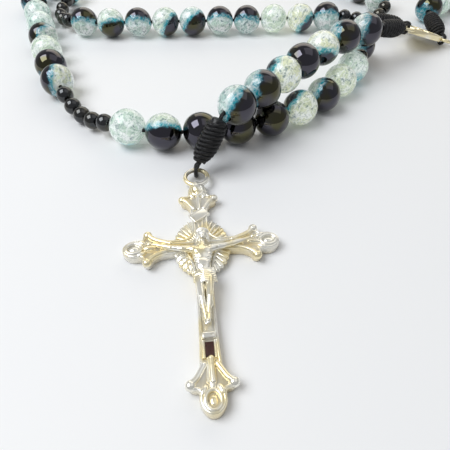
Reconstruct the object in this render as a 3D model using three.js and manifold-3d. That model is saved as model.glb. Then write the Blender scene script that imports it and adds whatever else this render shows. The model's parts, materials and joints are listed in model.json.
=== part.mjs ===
// A five-decade rosary of round glass beads on black cord, laid on a table as it was photographed.
// The loop's front, left and back decades lie where they are seen, and its last two decades close the loop
// behind. The pendant strand lies on the front decade, from the medal down to the crucifix on the table.
// Frame: +X right, +Y away from the viewer, +Z up, the table at Z = 0, the origin under the box's middle.
import * as THREE from "three";
import { mergeVertices } from "three/addons/utils/BufferGeometryUtils.js";
import Module from "manifold-3d";

const wasm = await Module();
wasm.setup();

// Beads
const bead_diameter = 8;
const bead_bore = 1.5;
const bead_gap = 0.12;
const loose_gap = 0.5;
const hairpin_gap = 1.2;
const hairpin_beads = [8, 9];
const small_diameter = 4;
const small_bore = 1.5;
const small_gap = 0.1;
const collar_wall = 0.4;
const collar_grip = 0.5;
const decade_count = 10;
const small_count = 5;
const pendant_count = 7;

// Cord and knots
const cord_diameter = 0.9;
const cord_clearance = 0.3;
const knot_length = 9.2;
const knot_gap = 0.35;
const core_wall = 0.35;
const core_chamfer = 0.5;
const lead_length = 0.9;
const strand_gap = 0.3;
const strand_clearance = 0.2;
const winding_wire = 0.46;
const winding_turns = 9;
const winding_clearance = 0.3;
const tail_depth = 1.2;
const hook_reach = 2.4;
const hook_opening = THREE.MathUtils.degToRad(65);

// Medal
const medal_thickness = 1.6;
const medal_width = 11;
const medal_height = 13;
const medal_rim = 0.8;
const medal_shoulder_share = 0.667;
const medal_sink = 0.4;
const medal_cross_length = 6;
const medal_cross_arm_share = 0.7;
const medal_cross_place_share = 0.6;
const medal_cross_width = 0.7;
const medal_eye_hole = 2;
const medal_eye_wire = 0.8;
const medal_lug_bite = 0.5;
const shoulder_side_share = 0.437;
const shoulder_along_share = 0.92;
const medal_table_gap = 0.3;

// Crucifix
const cross_thickness = 2;
const cross_top_reach = 15.6;
const cross_foot_reach = 28.9;
const cross_span = 27.4;
const shaft_width = 2.8;
const fleur_length_share = 0.27;
const fleur_width = 6.9;
const cell_width = 1.5;
const cell_length = 2.3;
const cell_depth = 0.5;
const cell_inset_share = 0.27;
const groove_width = 0.6;
const groove_depth = 0.35;
const groove_margin = 0.9;
const cross_eye_outer = 5.4;
const cross_eye_wire = 0.9;
const cross_eye_bite = 0.85;
const halo_share = 0.372;
const halo_oval_share = 1.25;
const halo_rays = 16;
const halo_notch = 0.6;
const halo_base = 0.5;
const halo_thickness = 1.1;
const title_length = 4;
const title_width = 1.85;
const title_height = 0.5;
const title_sink = 0.5;
const title_rise = 6.9;
const title_turn = THREE.MathUtils.degToRad(35);
const footrest_length = 1.8;
const footrest_width = 3.6;
const footrest_height = 0.5;
const footrest_sink = 0.5;
const footrest_drop = 17.4;
const window_length = 1.9;
const window_width = 1.5;
const window_depth = 0.8;
const window_gap = 0.35;

// Figure
const figure_gap = 0.3;
const figure_height = 18.4;
const figure_span = 19;
const figure_depth = 1.1;
const figure_head = 2.6;
const limb_diameter = 1.3;
const hand_diameter = 1.1;
const head_length_share = 1.2;
const foot_length_share = 1.5;
const figure_top_share = 0.14;
const knee_rise_share = 0.33;

// Places on the figure, as shares of its span across and of its height down from the top
const head_place_shares = [0.012, 0.09];
const neck_from_shares = [0, 0.1];
const neck_to_shares = [0, 0.25];
const shoulder_shares = [0.065, 0.25];
const elbow_shares = [0.28, 0.2];
const hand_shares = [0.47, 0.13];
const hip_shares = [0.04, 0.58];
const knee_shares = [0.035, 0.77];
const foot_shares = [0.018, 0.97];

// Thickness of the limbs at each joint, as shares of the upper arm's
const elbow_taper_share = 0.8;
const wrist_taper_share = 0.6;
const thigh_taper_share = 1.2;
const knee_taper_share = 0.9;
const ankle_taper_share = 0.6;

// Chest, waist and hips: the place down the height, the width in limbs, the length as a share of the height
// and the depth in depths
const torso_shares = [
  [0.31, 2.9, 0.25, 2.1],
  [0.43, 2.2, 0.2, 1.7],
  [0.55, 2.9, 0.15, 2.2],
];

// Facets and sampling
const bead_sides = 10;
const bead_rings = 5;
const small_sides = 8;
const small_rings = 4;
const collar_sides = 6;
const cord_sides = 8;
const winding_sides = 5;
const winding_steps = 8;
const core_sides = 12;
const eye_sides = 6;
const eye_steps = 14;
const hook_steps = 6;
const far_sides = 8;
const far_rings = 5;
const ball_sides = 6;
const ball_rings = 5;
const curve_samples = 9000;
const solve_rounds = 30;
const reach_shares = [0.6, 1.6];
const cut_overrun = 1;
const merge_distance = 1e-5;

// Sizes that follow
const bead_radius = bead_diameter / 2;
const small_radius = small_diameter / 2;
const cord_radius = cord_diameter / 2;
const bead_half = Math.sqrt(bead_radius ** 2 - (bead_bore / 2) ** 2);
const small_half = Math.sqrt(small_radius ** 2 - (small_bore / 2) ** 2);
const strand_offset = cord_radius + strand_gap / 2;
const fleur_length = cross_span * fleur_length_share;
const halo_diameter = cross_span * halo_share;
const core_bore = strand_offset + cord_radius + strand_clearance;
const core_radius = core_bore + core_wall;
const winding_radius = core_radius + winding_clearance + winding_wire / 2;

const materials = {
  glass_clear: { color: "#cfe3dc", roughness: 0.08, metalness: 0 },
  glass_teal: { color: "#1f5a63", roughness: 0.08, metalness: 0 },
  glass_dark: { color: "#10181c", roughness: 0.08, metalness: 0 },
  small: { color: "#17191b", roughness: 0.12, metalness: 0.3 },
  cord: { color: "#141414", roughness: 0.7, metalness: 0 },
  silver: { color: "#cfcac0", roughness: 0.25, metalness: 1 },
};

const root = new THREE.Group();

// Routes: bead centres picked by hand, as shares of a large bead's diameter
const front_route_shares = [
  [4.72, 15.15],
  [4.67, 14.56],
  [4.53, 13.9],
  [4.07, 13.2],
  [3.51, 12.23],
  [2.86, 11.48],
  [2.14, 10.87],
  [1.32, 10.34],
  [0.39, 9.99],
  [-0.6, 9.76],
  [-1.59, 9.73],
  [-2.58, 9.86],
  [-3.32, 10.24],
  [-3.82, 10.56],
  [-4.22, 10.94],
  [-4.58, 11.34],
  [-4.88, 11.8],
];
const left_route_shares = [
  [-5.2, 12.32],
  [-5.62, 13.24],
  [-6.02, 14.22],
  [-6.39, 15.13],
  [-6.72, 16.08],
  [-7.16, 17.14],
  [-7.6, 18.3],
  [-8.02, 19],
  [-8.22, 19.65],
  [-8, 20.35],
  [-7.32, 20.65],
  [-6.64, 20.35],
];
const back_route_shares = [
  [-6.4, 19.65],
  [-6.44, 19],
  [-6.6, 18.4],
  [-6.6, 18.22],
  [-6.5, 17.72],
  [-6.25, 17.26],
  [-5.88, 16.84],
  [-5.25, 16.52],
  [-4.24, 16.53],
  [-3.25, 16.6],
  [-2.24, 16.62],
  [-1.2, 16.68],
  [-0.2, 16.72],
  [0.82, 16.82],
  [1.84, 16.9],
  [2.86, 16.98],
  [3.88, 17.08],
];
const turn_route_shares = [
  [4.65, 17.3],
  [5.16, 17.38],
  [5.68, 17.48],
  [6.16, 17.72],
  [6.42, 18.15],
  [6.4, 18.7],
];
const hidden_route_shares = [
  [6.05, 19.6],
  [5.3, 20.4],
  [4.65, 21.3],
  [4.35, 22.3],
  [4.6, 23.4],
  [5.3, 24.3],
  [6.3, 24.9],
  [7.4, 25.15],
  [8.5, 24.95],
  [9.5, 24.3],
  [10.3, 23.4],
  [10.75, 22.3],
  [10.8, 21.1],
  [10.45, 20],
  [9.7, 19.1],
  [8.8, 18.6],
];
const hidden_pivot_share = [7.6, 18.45];
const home_route_shares = [[8.1, 18.35]];
const home_run = 8;
const small_rise_shares = [0.35, 0.257, 0.257, 0.35];
const pendant_route_shares = [
  [4.9, 14.18, 1.34],
  [4.48, 13.93, 1.46],
  [3.72, 13.27, 1.47],
  [3.06, 12.84, 1.42],
  [2.35, 12.0, 1.4],
  [1.63, 11.14, 1.42],
  [0.9, 10.12, 1.47],
  [0.17, 9.45, 1.46],
  [-0.06, 9.14, 1.46],
];

// Places of the knots: where each points from its bead or eye, picked by hand
const medal_knot_heading = new THREE.Vector3(0.83, 0.5, -0.24).normalize();
const medal_heading = new THREE.Vector2(0.74, 0.67).normalize();
const front_knot_heading = new THREE.Vector3(-0.1, 0.97, 0.21).normalize();
const back_knot_heading = new THREE.Vector3(-0.98, -0.04, 0.2).normalize();
const crucifix_knot_heading = new THREE.Vector2(-0.72, -0.69).normalize();
const crucifix_turn = THREE.MathUtils.degToRad(5.5);
const slack_route_shares = [
  [5.25, 16.7, 0.5],
  [4.98, 16.4, 0.4],
  [4.84, 15.95, 0.36],
  [4.76, 15.5, 0.42],
];

function vector(share) {
  return new THREE.Vector3(...share).multiplyScalar(bead_diameter);
}

// A place on the table, as shares of a large bead's diameter
function flat(share) {
  return new THREE.Vector3(share[0], share[1], 0).multiplyScalar(bead_diameter);
}

// One named piece of the model
function add(name, geometry, finish, extra = {}) {
  const mesh = new THREE.Mesh(geometry, new THREE.MeshStandardMaterial(finish));
  mesh.name = name;
  Object.assign(mesh.userData, extra);
  root.add(mesh);
  return mesh;
}

// A closed geometry as a solid for joining and cutting
function solid(geometry) {
  const bare = geometry.clone();
  bare.deleteAttribute("normal");
  bare.deleteAttribute("uv");
  const merged = mergeVertices(bare, merge_distance);
  const index = merged.index.array;
  const kept = [];
  for (let i = 0; i < index.length; i += 3) {
    const [a, b, c] = [index[i], index[i + 1], index[i + 2]];
    if (a !== b && b !== c && c !== a) kept.push(a, b, c);
  }
  const mesh = new wasm.Mesh({
    numProp: 3,
    vertProperties: new Float32Array(merged.attributes.position.array),
    triVerts: new Uint32Array(kept),
  });
  mesh.merge();
  return new wasm.Manifold(mesh);
}

function geometry_of(body) {
  const mesh = body.getMesh();
  const geometry = new THREE.BufferGeometry();
  geometry.setAttribute("position", new THREE.BufferAttribute(mesh.vertProperties, 3));
  geometry.setIndex(new THREE.BufferAttribute(mesh.triVerts, 1));
  geometry.computeVertexNormals();
  return geometry;
}

function join(geometries) {
  return geometries.map(solid).reduce((all, next) => all.add(next));
}

// A polygon with a corner every full turn over sides
function polygon(radius, sides) {
  const shape = new THREE.Shape();
  for (let i = 0; i < sides; i += 1) {
    const angle = (i / sides) * Math.PI * 2;
    const x = radius * Math.cos(angle);
    const y = radius * Math.sin(angle);
    if (i === 0) shape.moveTo(x, y);
    else shape.lineTo(x, y);
  }
  shape.closePath();
  return shape;
}

// A path that turns only at its own points, for a cord that is straight inside each bead
class PointPath extends THREE.Curve {
  constructor(points) {
    super();
    this.points = points;
  }

  getPoint(t) {
    const place = t * (this.points.length - 1);
    const i = Math.min(Math.floor(place), this.points.length - 2);
    return this.points[i].clone().lerp(this.points[i + 1], place - i);
  }

  getPointAt(t) {
    return this.getPoint(t);
  }

  getTangentAt(t) {
    const last = this.points.length - 1;
    const i = Math.round(t * last);
    const before = this.points[Math.max(i - 1, 0)];
    const at = this.points[i];
    const after = this.points[Math.min(i + 1, last)];
    const arriving = at.clone().sub(before).normalize();
    const leaving = after.clone().sub(at).normalize();
    return arriving.add(leaving).normalize();
  }
}

function tube(points, radius, sides) {
  return new THREE.ExtrudeGeometry(polygon(radius, sides), {
    steps: points.length - 1,
    extrudePath: new PointPath(points),
  });
}

// A rod between two points
function rod(from, to, from_radius, to_radius, sides) {
  const along = to.clone().sub(from);
  const geometry = new THREE.CylinderGeometry(to_radius, from_radius, along.length(), sides);
  const turn = new THREE.Quaternion().setFromUnitVectors(
    new THREE.Vector3(0, 1, 0),
    along.clone().normalize(),
  );
  geometry.applyQuaternion(turn);
  const middle = from.clone().lerp(to, 0.5);
  geometry.translate(middle.x, middle.y, middle.z);
  return geometry;
}

// A bored bead, its bore along Z
function bored_bead(radius, bore, sides, rings) {
  const from = Math.asin(bore / 2 / radius);
  const profile = [];
  for (let i = 0; i <= rings; i += 1) {
    const angle = from + (i / rings) * (Math.PI - 2 * from);
    profile.push(new THREE.Vector2(radius * Math.sin(angle), -radius * Math.cos(angle)));
  }
  profile.push(profile[0].clone());
  const geometry = new THREE.LatheGeometry(profile, sides);
  geometry.rotateX(Math.PI / 2);
  return geometry;
}

function sampled(points) {
  return new THREE.CatmullRomCurve3(points, false, "centripetal").getPoints(curve_samples);
}

const half_of = { large: bead_half, small: small_half };
const radius_of = { large: bead_radius, small: small_radius };

// Least distance between the centres of two beads that lie side by side on the cord
function spacing(one, next, gap) {
  return radius_of[one] + radius_of[next] + gap;
}

// Corners of the cord along a row of samples: the cord is straight between two corners, with a bead on each
// stretch. A stretch is as long as its bead and gap. Where the cord turns sharply the bead slides on, clear
// of the one before, and its stretch is longer.
function corners_along(samples, kinds, gaps) {
  const corners = [samples[0].clone()];
  const slides = [];
  let i = 0;
  let centre_before = null;
  kinds.forEach((kind, n) => {
    const from = corners[n];
    const shortest = 2 * radius_of[kind] + gaps[n];
    const clear = n > 0 ? spacing(kinds[n - 1], kind, Math.min(gaps[n - 1], gaps[n])) : 0;
    const slide = (sample) => 1 - shortest / 2 / sample.distanceTo(from);
    const fits = (sample) => {
      const centre = from.clone().lerp(sample, slide(sample));
      return sample.distanceTo(from) >= shortest && (n === 0 || centre.distanceTo(centre_before) >= clear);
    };
    while (i < samples.length - 1 && !fits(samples[i])) i += 1;
    corners.push(samples[i].clone());
    slides.push(slide(samples[i]));
    centre_before = from.clone().lerp(samples[i], slide(samples[i]));
  });
  return { corners, slides, last: i };
}

// The bead of each stretch between two corners
function beads_between(corners, slides, kinds) {
  return kinds.map((kind, n) => ({
    centre: corners[n].clone().lerp(corners[n + 1], slides[n]),
    axis: corners[n + 1].clone().sub(corners[n]).normalize(),
    half: half_of[kind],
  }));
}

function run_length(samples, from, to) {
  let length = 0;
  for (let i = from; i < to; i += 1) length += samples[i].distanceTo(samples[i + 1]);
  return length;
}

const repeat = (kind, count) => Array.from({ length: count }, () => kind);

const loop_kinds = [
  "large",
  "small",
  ...repeat("large", decade_count - 1),
  ...repeat("small", small_count),
  ...repeat("large", decade_count),
  ...repeat("small", small_count),
  ...repeat("large", decade_count),
  ...repeat("small", small_count),
  ...repeat("large", decade_count),
  ...repeat("small", small_count),
  ...repeat("large", decade_count),
];
const left_from = 1 + decade_count + small_count;
const left_to = left_from + decade_count;
const loop_gaps = loop_kinds.map((kind, n) => {
  if (kind === "small") return small_gap;
  if (n < left_from || n >= left_to) return bead_gap;
  return hairpin_beads.includes(n - left_from + 1) ? hairpin_gap : loose_gap;
});

// An eye: a ring in the plane of its piece. The cord hooks round its wire on the side of the knot.
function hook(centre, normal, ring_radius, knot_point) {
  const out = knot_point.clone().sub(centre).projectOnPlane(normal).normalize();
  return {
    wire: centre.clone().addScaledVector(out, ring_radius),
    tangent: normal.clone().cross(out).normalize(),
  };
}

// The cord's way through a knot, round an eye's wire and back into the knot
function hooked_loop(start, end, wire, tangent, wire_radius) {
  const back = end.clone().sub(wire).projectOnPlane(tangent).normalize();
  const side = back.clone().cross(tangent).normalize();
  const around = wire_radius + cord_radius + cord_clearance;
  const inward = start.clone().sub(end).normalize();
  const points = [start.clone(), end.clone().addScaledVector(side, strand_offset)];
  const turn = 2 * (Math.PI - hook_opening);
  for (let i = 0; i <= hook_steps; i += 1) {
    const angle = hook_opening + (turn * i) / hook_steps;
    points.push(
      wire
        .clone()
        .addScaledVector(back, around * Math.cos(angle))
        .addScaledVector(side, around * Math.sin(angle)),
    );
  }
  const tail = end.clone().addScaledVector(side, -strand_offset);
  points.push(tail.clone(), tail.clone().addScaledVector(inward, tail_depth));
  return points;
}

class Helix extends THREE.Curve {
  getPoint(t) {
    const angle = t * winding_turns * Math.PI * 2;
    const rise = t * (knot_length - 2 * core_chamfer) + core_chamfer;
    return new THREE.Vector3(winding_radius * Math.cos(angle), winding_radius * Math.sin(angle), rise);
  }
}

// Least gap between neighbouring turns of a winding, measured on points
function winding_gap() {
  const points = new Helix().getPoints(winding_turns * winding_steps * 4);
  const half_turn = winding_steps * 2;
  let least = Infinity;
  points.forEach((point, i) => {
    for (let j = i + half_turn; j < points.length; j += 1) {
      least = Math.min(least, point.distanceTo(points[j]));
    }
  });
  return least - winding_wire;
}

// A barrel knot from its bead end to its loop end: a plain core and the wound outer layer
function add_knot(name, start, end, body) {
  const turn = new THREE.Quaternion().setFromUnitVectors(
    new THREE.Vector3(0, 0, 1),
    end.clone().sub(start).normalize(),
  );
  const slim = core_radius - core_wall / 2;
  const profile = [
    [core_bore, 0],
    [slim, 0],
    [core_radius, core_chamfer],
    [core_radius, knot_length - core_chamfer],
    [slim, knot_length],
    [core_bore, knot_length],
    [core_bore, 0],
  ].map(([x, y]) => new THREE.Vector2(x, y));
  const core = new THREE.LatheGeometry(profile, core_sides);
  core.rotateX(Math.PI / 2);
  const winding = new THREE.ExtrudeGeometry(polygon(winding_wire / 2, winding_sides), {
    steps: winding_turns * winding_steps,
    extrudePath: new Helix(),
  });
  for (const [part, geometry] of Object.entries({ core, winding })) {
    geometry.applyQuaternion(turn);
    geometry.translate(start.x, start.y, start.z);
    add(`${name}_${part}`, geometry, materials.cord, { body });
  }
}

function add_bead(name, bead, finish, parent) {
  const small = bead.half === small_half;
  const geometry = small
    ? bored_bead(small_radius, small_bore, small_sides, small_rings)
    : bored_bead(bead_radius, bead_bore, bead_sides, bead_rings);
  const turn = new THREE.Quaternion().setFromUnitVectors(new THREE.Vector3(0, 0, 1), bead.axis);
  geometry.applyQuaternion(turn);
  const mesh = add(name, geometry, finish, { body: name, parent, spin: true, axis: bead.axis.clone() });
  mesh.position.copy(bead.centre);
}

// Beads outside the picture in one node: thin collars that follow the cord join them, and one bore goes
// through all of them
function add_joined(name, beads, corners, path, finish) {
  const small = beads[0].half === small_half;
  const radius = small ? small_radius : bead_radius;
  const bore = small ? small_bore : bead_bore;
  const pieces = beads.map((bead) => {
    const sides = small ? small_sides : far_sides;
    const geometry = new THREE.SphereGeometry(radius, sides, small ? small_rings : far_rings);
    const turn = new THREE.Quaternion().setFromUnitVectors(new THREE.Vector3(0, 1, 0), bead.axis);
    geometry.applyQuaternion(turn);
    geometry.translate(bead.centre.x, bead.centre.y, bead.centre.z);
    return geometry;
  });
  for (let i = 0; i + 1 < beads.length; i += 1) {
    const [one, next] = [beads[i], beads[i + 1]];
    const from = one.centre.clone().addScaledVector(one.axis, one.half - collar_grip);
    const to = next.centre.clone().addScaledVector(next.axis, collar_grip - next.half);
    pieces.push(tube([from, corners[i], to], bore / 2 + collar_wall, collar_sides));
  }
  const cut = solid(tube(path, bore / 2, cord_sides));
  add(name, geometry_of(join(pieces).subtract(cut)), finish, { body: "loop_strand" });
}

// Pendant strand: from the bead at the medal down to the bead at the crucifix
const pendant_kinds = repeat("large", pendant_count);
const pendant_gaps = repeat(bead_gap, pendant_count);
const pendant_samples = sampled(pendant_route_shares.map(vector));
const pendant_strung = corners_along(pendant_samples, pendant_kinds, pendant_gaps);
const pendant_corners = pendant_strung.corners;
const pendant_beads = beads_between(pendant_corners, pendant_strung.slides, pendant_kinds);

const medal_knot_start = pendant_corners[0].clone().addScaledVector(medal_knot_heading, lead_length);
const medal_knot_end = medal_knot_start.clone().addScaledVector(medal_knot_heading, knot_length);
const medal_eye = medal_knot_end.clone().addScaledVector(medal_knot_heading, hook_reach);

const low_corner = pendant_corners[pendant_count];
const crucifix_wire_height = 2 * cord_radius + cord_clearance + cross_eye_wire / 2 + figure_gap / 2;
const crucifix_drop = low_corner.z - crucifix_wire_height;
const crucifix_fall = crucifix_drop / (lead_length + knot_length + hook_reach);
const crucifix_level = Math.sqrt(1 - crucifix_fall ** 2);
const crucifix_direction = new THREE.Vector3(
  crucifix_knot_heading.x * crucifix_level,
  crucifix_knot_heading.y * crucifix_level,
  -crucifix_fall,
);
const crucifix_knot_start = low_corner.clone().addScaledVector(crucifix_direction, lead_length);
const crucifix_knot_end = crucifix_knot_start.clone().addScaledVector(crucifix_direction, knot_length);
const crucifix_wire = crucifix_knot_end.clone().addScaledVector(crucifix_direction, hook_reach);

// Medal: its own frame has the lower eye's wire at the origin, +Y to the upper eyes and +Z its face
const medal_eye_radius = (medal_eye_hole + medal_eye_wire) / 2;
const medal_eye_outer = medal_eye_radius + medal_eye_wire / 2;
const medal_eye_reach = medal_eye_outer - medal_lug_bite;
const medal_plate_from = medal_eye_radius + medal_eye_outer - medal_lug_bite;
const shoulder_side = medal_width * shoulder_side_share + medal_eye_reach * Math.SQRT1_2;
const shoulder_rise = medal_height * shoulder_along_share;
const shoulder_along = medal_plate_from + shoulder_rise + medal_eye_reach * Math.SQRT1_2;
const medal_low = medal_eye_wire / 2 + 2 * cord_radius + cord_clearance + medal_table_gap;
const medal_fall = (medal_eye.z - medal_low) / shoulder_along;
const medal_level = Math.sqrt(1 - medal_fall ** 2);
const medal_up = new THREE.Vector3(
  medal_heading.x * medal_level,
  medal_heading.y * medal_level,
  -medal_fall,
);
const medal_side = new THREE.Vector3(medal_heading.y, -medal_heading.x, 0);
const medal_face = medal_side.clone().cross(medal_up).normalize();
const medal_frame = new THREE.Matrix4()
  .makeBasis(medal_side, medal_up, medal_face)
  .setPosition(medal_eye);

function on_medal(x, y, z) {
  return new THREE.Vector3(x, y, z).applyMatrix4(medal_frame);
}

const front_eye = on_medal(shoulder_side, shoulder_along, 0);
const back_eye = on_medal(-shoulder_side, shoulder_along, 0);

function end_knot(eye, heading) {
  const toward = eye.clone().add(heading);
  const { wire, tangent } = hook(eye, medal_face, medal_eye_radius, toward);
  const end = wire.clone().addScaledVector(heading, hook_reach);
  const start = end.clone().addScaledVector(heading, knot_length);
  return { wire, tangent, end, start };
}

const front_end = end_knot(front_eye, front_knot_heading);
const back_end = end_knot(back_eye, back_knot_heading);

// Loop strand: from the slack behind the pendant round to the knot at the medal's front eye
const last_corner = front_end.start.clone().addScaledVector(front_knot_heading, lead_length);
const hidden_pivot = flat(hidden_pivot_share);

function loop_samples(reach) {
  const hidden = hidden_route_shares.map((share) =>
    flat(share).sub(hidden_pivot).multiplyScalar(reach).add(hidden_pivot),
  );
  return sampled([
    ...front_route_shares.map(flat),
    ...left_route_shares.map(flat),
    ...back_route_shares.map(flat),
    ...turn_route_shares.map(flat),
    ...hidden,
    ...home_route_shares.map(flat),
    last_corner.clone().addScaledVector(front_knot_heading, home_run).setZ(0),
    last_corner.clone().setZ(0),
  ]);
}

// The unseen turn of the loop is widened or narrowed until the beads just fill it
function strung_loop(reach) {
  const samples = loop_samples(reach);
  const strung = corners_along(samples, loop_kinds, loop_gaps);
  return { ...strung, spare: run_length(samples, strung.last, samples.length - 1) };
}

let [low_reach, high_reach] = reach_shares;
for (let i = 0; i < solve_rounds; i += 1) {
  const middle = (low_reach + high_reach) / 2;
  if (strung_loop(middle).spare === 0) low_reach = middle;
  else high_reach = middle;
}
const loop_strung = strung_loop(high_reach);
const loop_corners = loop_strung.corners;

// Heights: the cord runs at a large bead's middle, and dips to a small one's inside each group
let group_place = 0;
loop_corners.forEach((corner, n) => {
  const between_smalls = n > 0 && loop_kinds[n - 1] === "small" && loop_kinds[n] === "small";
  group_place = between_smalls ? group_place + 1 : 0;
  corner.z = between_smalls ? small_rise_shares[group_place - 1] * bead_diameter : bead_radius;
});
loop_corners[loop_corners.length - 1].copy(last_corner);
const slack_points = slack_route_shares.map(vector);
const loop_beads = beads_between(loop_corners, loop_strung.slides, loop_kinds);

// Names of the loop's beads, in the order in which they are strung
const glass = [materials.glass_clear, materials.glass_teal, materials.glass_dark];

// A group of beads with the cord's corners between them, and its bore led out at both ends
function add_group(name, from, count, finish) {
  const beads = loop_beads.slice(from, from + count);
  const corners = loop_corners.slice(from + 1, from + count);
  const [first, last] = [beads[0], beads[count - 1]];
  const lead = first.centre.clone().addScaledVector(first.axis, -first.half - cut_overrun);
  const out = last.centre.clone().addScaledVector(last.axis, last.half + cut_overrun);
  add_joined(name, beads, corners, [lead, ...corners, out], finish);
}

add_bead(`front_bead_${decade_count}`, loop_beads[0], glass[1], "loop_strand");
add_bead("front_spacer_bead", loop_beads[1], materials.small, "loop_strand");
let strung_count = 2;
for (let i = decade_count - 1; i >= 1; i -= 1) {
  add_bead(`front_bead_${i}`, loop_beads[strung_count], glass[i % glass.length], "loop_strand");
  strung_count += 1;
}
const decades = ["left", "back"];
decades.forEach((decade, group) => {
  add_group(`spacer_beads_${group + 1}`, strung_count, small_count, materials.small);
  strung_count += small_count;
  for (let i = 1; i <= decade_count; i += 1) {
    const finish = glass[(i + group) % glass.length];
    add_bead(`${decade}_bead_${i}`, loop_beads[strung_count], finish, "loop_strand");
    strung_count += 1;
  }
});
const joined_decades = ["fourth_decade_beads", "fifth_decade_beads"];
joined_decades.forEach((decade, group) => {
  add_group(`spacer_beads_${decades.length + group + 1}`, strung_count, small_count, materials.small);
  strung_count += small_count;
  add_group(decade, strung_count, decade_count, glass[group]);
  strung_count += decade_count;
});

pendant_beads.forEach((bead, i) => {
  const number = pendant_count - i;
  add_bead(`pendant_bead_${number}`, bead, glass[number % glass.length], "pendant_strand");
});

// Cords: each is one tube from its first knot's tail to its last knot's tail
const back_loop = hooked_loop(
  back_end.start,
  back_end.end,
  back_end.wire,
  back_end.tangent,
  medal_eye_wire / 2,
);
const front_loop = hooked_loop(
  front_end.start,
  front_end.end,
  front_end.wire,
  front_end.tangent,
  medal_eye_wire / 2,
);
const back_lead = back_end.start.clone().addScaledVector(back_knot_heading, lead_length);
const loop_path = [
  ...[...back_loop].reverse(),
  back_lead,
  ...slack_points,
  ...loop_corners,
  ...front_loop,
];
add("loop_cord", tube(loop_path, cord_radius, cord_sides), materials.cord, { body: "loop_strand" });

const lower_hook = hook(
  on_medal(0, medal_eye_radius, 0),
  medal_face,
  medal_eye_radius,
  medal_knot_end,
);
const medal_loop = hooked_loop(
  medal_knot_start,
  medal_knot_end,
  lower_hook.wire,
  lower_hook.tangent,
  medal_eye_wire / 2,
);
const crucifix_tangent = new THREE.Vector3(Math.cos(crucifix_turn), Math.sin(crucifix_turn), 0);
const crucifix_loop = hooked_loop(
  crucifix_knot_start,
  crucifix_knot_end,
  crucifix_wire,
  crucifix_tangent,
  cross_eye_wire / 2,
);
const pendant_path = [...[...medal_loop].reverse(), ...pendant_corners, ...crucifix_loop];
add("pendant_cord", tube(pendant_path, cord_radius, cord_sides), materials.cord, { body: "pendant_strand" });

add_knot("front_end_knot", front_end.start, front_end.end, "loop_strand");
add_knot("back_end_knot", back_end.start, back_end.end, "loop_strand");
add_knot("medal_knot", medal_knot_start, medal_knot_end, "pendant_strand");
add_knot("crucifix_knot", crucifix_knot_start, crucifix_knot_end, "pendant_strand");

// An eye ring in the XY plane
function eye_ring(x, y, z, ring_radius, wire) {
  const ring = new THREE.TorusGeometry(ring_radius, wire / 2, eye_sides, eye_steps);
  ring.translate(x, y, z);
  return ring;
}

// Medal: a rounded triangle with a raised rim, a plain small cross and three eyes
function medal_outline(inset) {
  const half = medal_width / 2 - inset;
  const low = medal_plate_from + inset;
  const high = medal_plate_from + medal_height - inset;
  const shoulder = medal_plate_from + medal_height * medal_shoulder_share;
  const shape = new THREE.Shape();
  shape.moveTo(0, low);
  shape.quadraticCurveTo(half / 2, low, half, shoulder);
  shape.quadraticCurveTo(half, high, half / 2, high);
  shape.lineTo(-half / 2, high);
  shape.quadraticCurveTo(-half, high, -half, shoulder);
  shape.quadraticCurveTo(-half / 2, low, 0, low);
  return shape;
}

function slab(shape, from, thickness, curve_steps = 5) {
  const geometry = new THREE.ExtrudeGeometry(shape, {
    depth: thickness,
    bevelEnabled: false,
    curveSegments: curve_steps,
  });
  geometry.translate(0, 0, from);
  return geometry;
}

function block(width, length, height, x, y, z) {
  const geometry = new THREE.BoxGeometry(width, length, height);
  geometry.translate(x, y, z + height / 2);
  return geometry;
}

const medal_half = medal_thickness / 2;
const medal_middle = medal_plate_from + medal_height * medal_cross_place_share;
const medal_cross_arm = medal_cross_length * medal_cross_arm_share;
const medal_floor = medal_half - medal_sink;
const medal_body = solid(slab(medal_outline(0), -medal_half, medal_thickness))
  .subtract(solid(slab(medal_outline(medal_rim), medal_floor, medal_sink + cut_overrun)))
  .add(
    join([
      block(medal_cross_width, medal_cross_length, medal_half, 0, medal_middle, 0),
      block(medal_cross_arm, medal_cross_width, medal_half, 0, medal_middle + medal_rim, 0),
      eye_ring(0, medal_eye_radius, 0, medal_eye_radius, medal_eye_wire),
      eye_ring(shoulder_side, shoulder_along, 0, medal_eye_radius, medal_eye_wire),
      eye_ring(-shoulder_side, shoulder_along, 0, medal_eye_radius, medal_eye_wire),
    ]),
  );
const medal = add("medal", geometry_of(medal_body), materials.silver, { body: "medal" });
medal.applyMatrix4(medal_frame);

// Cross: its own frame has the eye's wire at the origin, +Y to the knot and Z = 0 on the table
const cross_eye_radius = (cross_eye_outer - cross_eye_wire) / 2;
const cross_tip = -(cross_eye_radius + cross_eye_outer / 2 - cross_eye_bite);
const cross_middle = cross_tip - cross_top_reach;
const fleur_shares = [
  [1, 0.41],
  [0.74, 0.62],
  [0.68, 0.93],
  [0.57, 1],
  [0.47, 0.84],
  [0.46, 0.5],
  [0.26, 0.57],
  [0.1, 0.41],
  [0, 0.16],
];

// One arm's outline, going out on its right side and back on its left
function arm_points(reach) {
  const side = fleur_shares.map(([back, out]) => [reach - back * fleur_length, (out * fleur_width) / 2]);
  const right = [[shaft_width / 2, shaft_width / 2], ...side];
  const left = [...side].reverse().map(([along, out]) => [along, -out]);
  return [...right, ...left];
}

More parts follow.
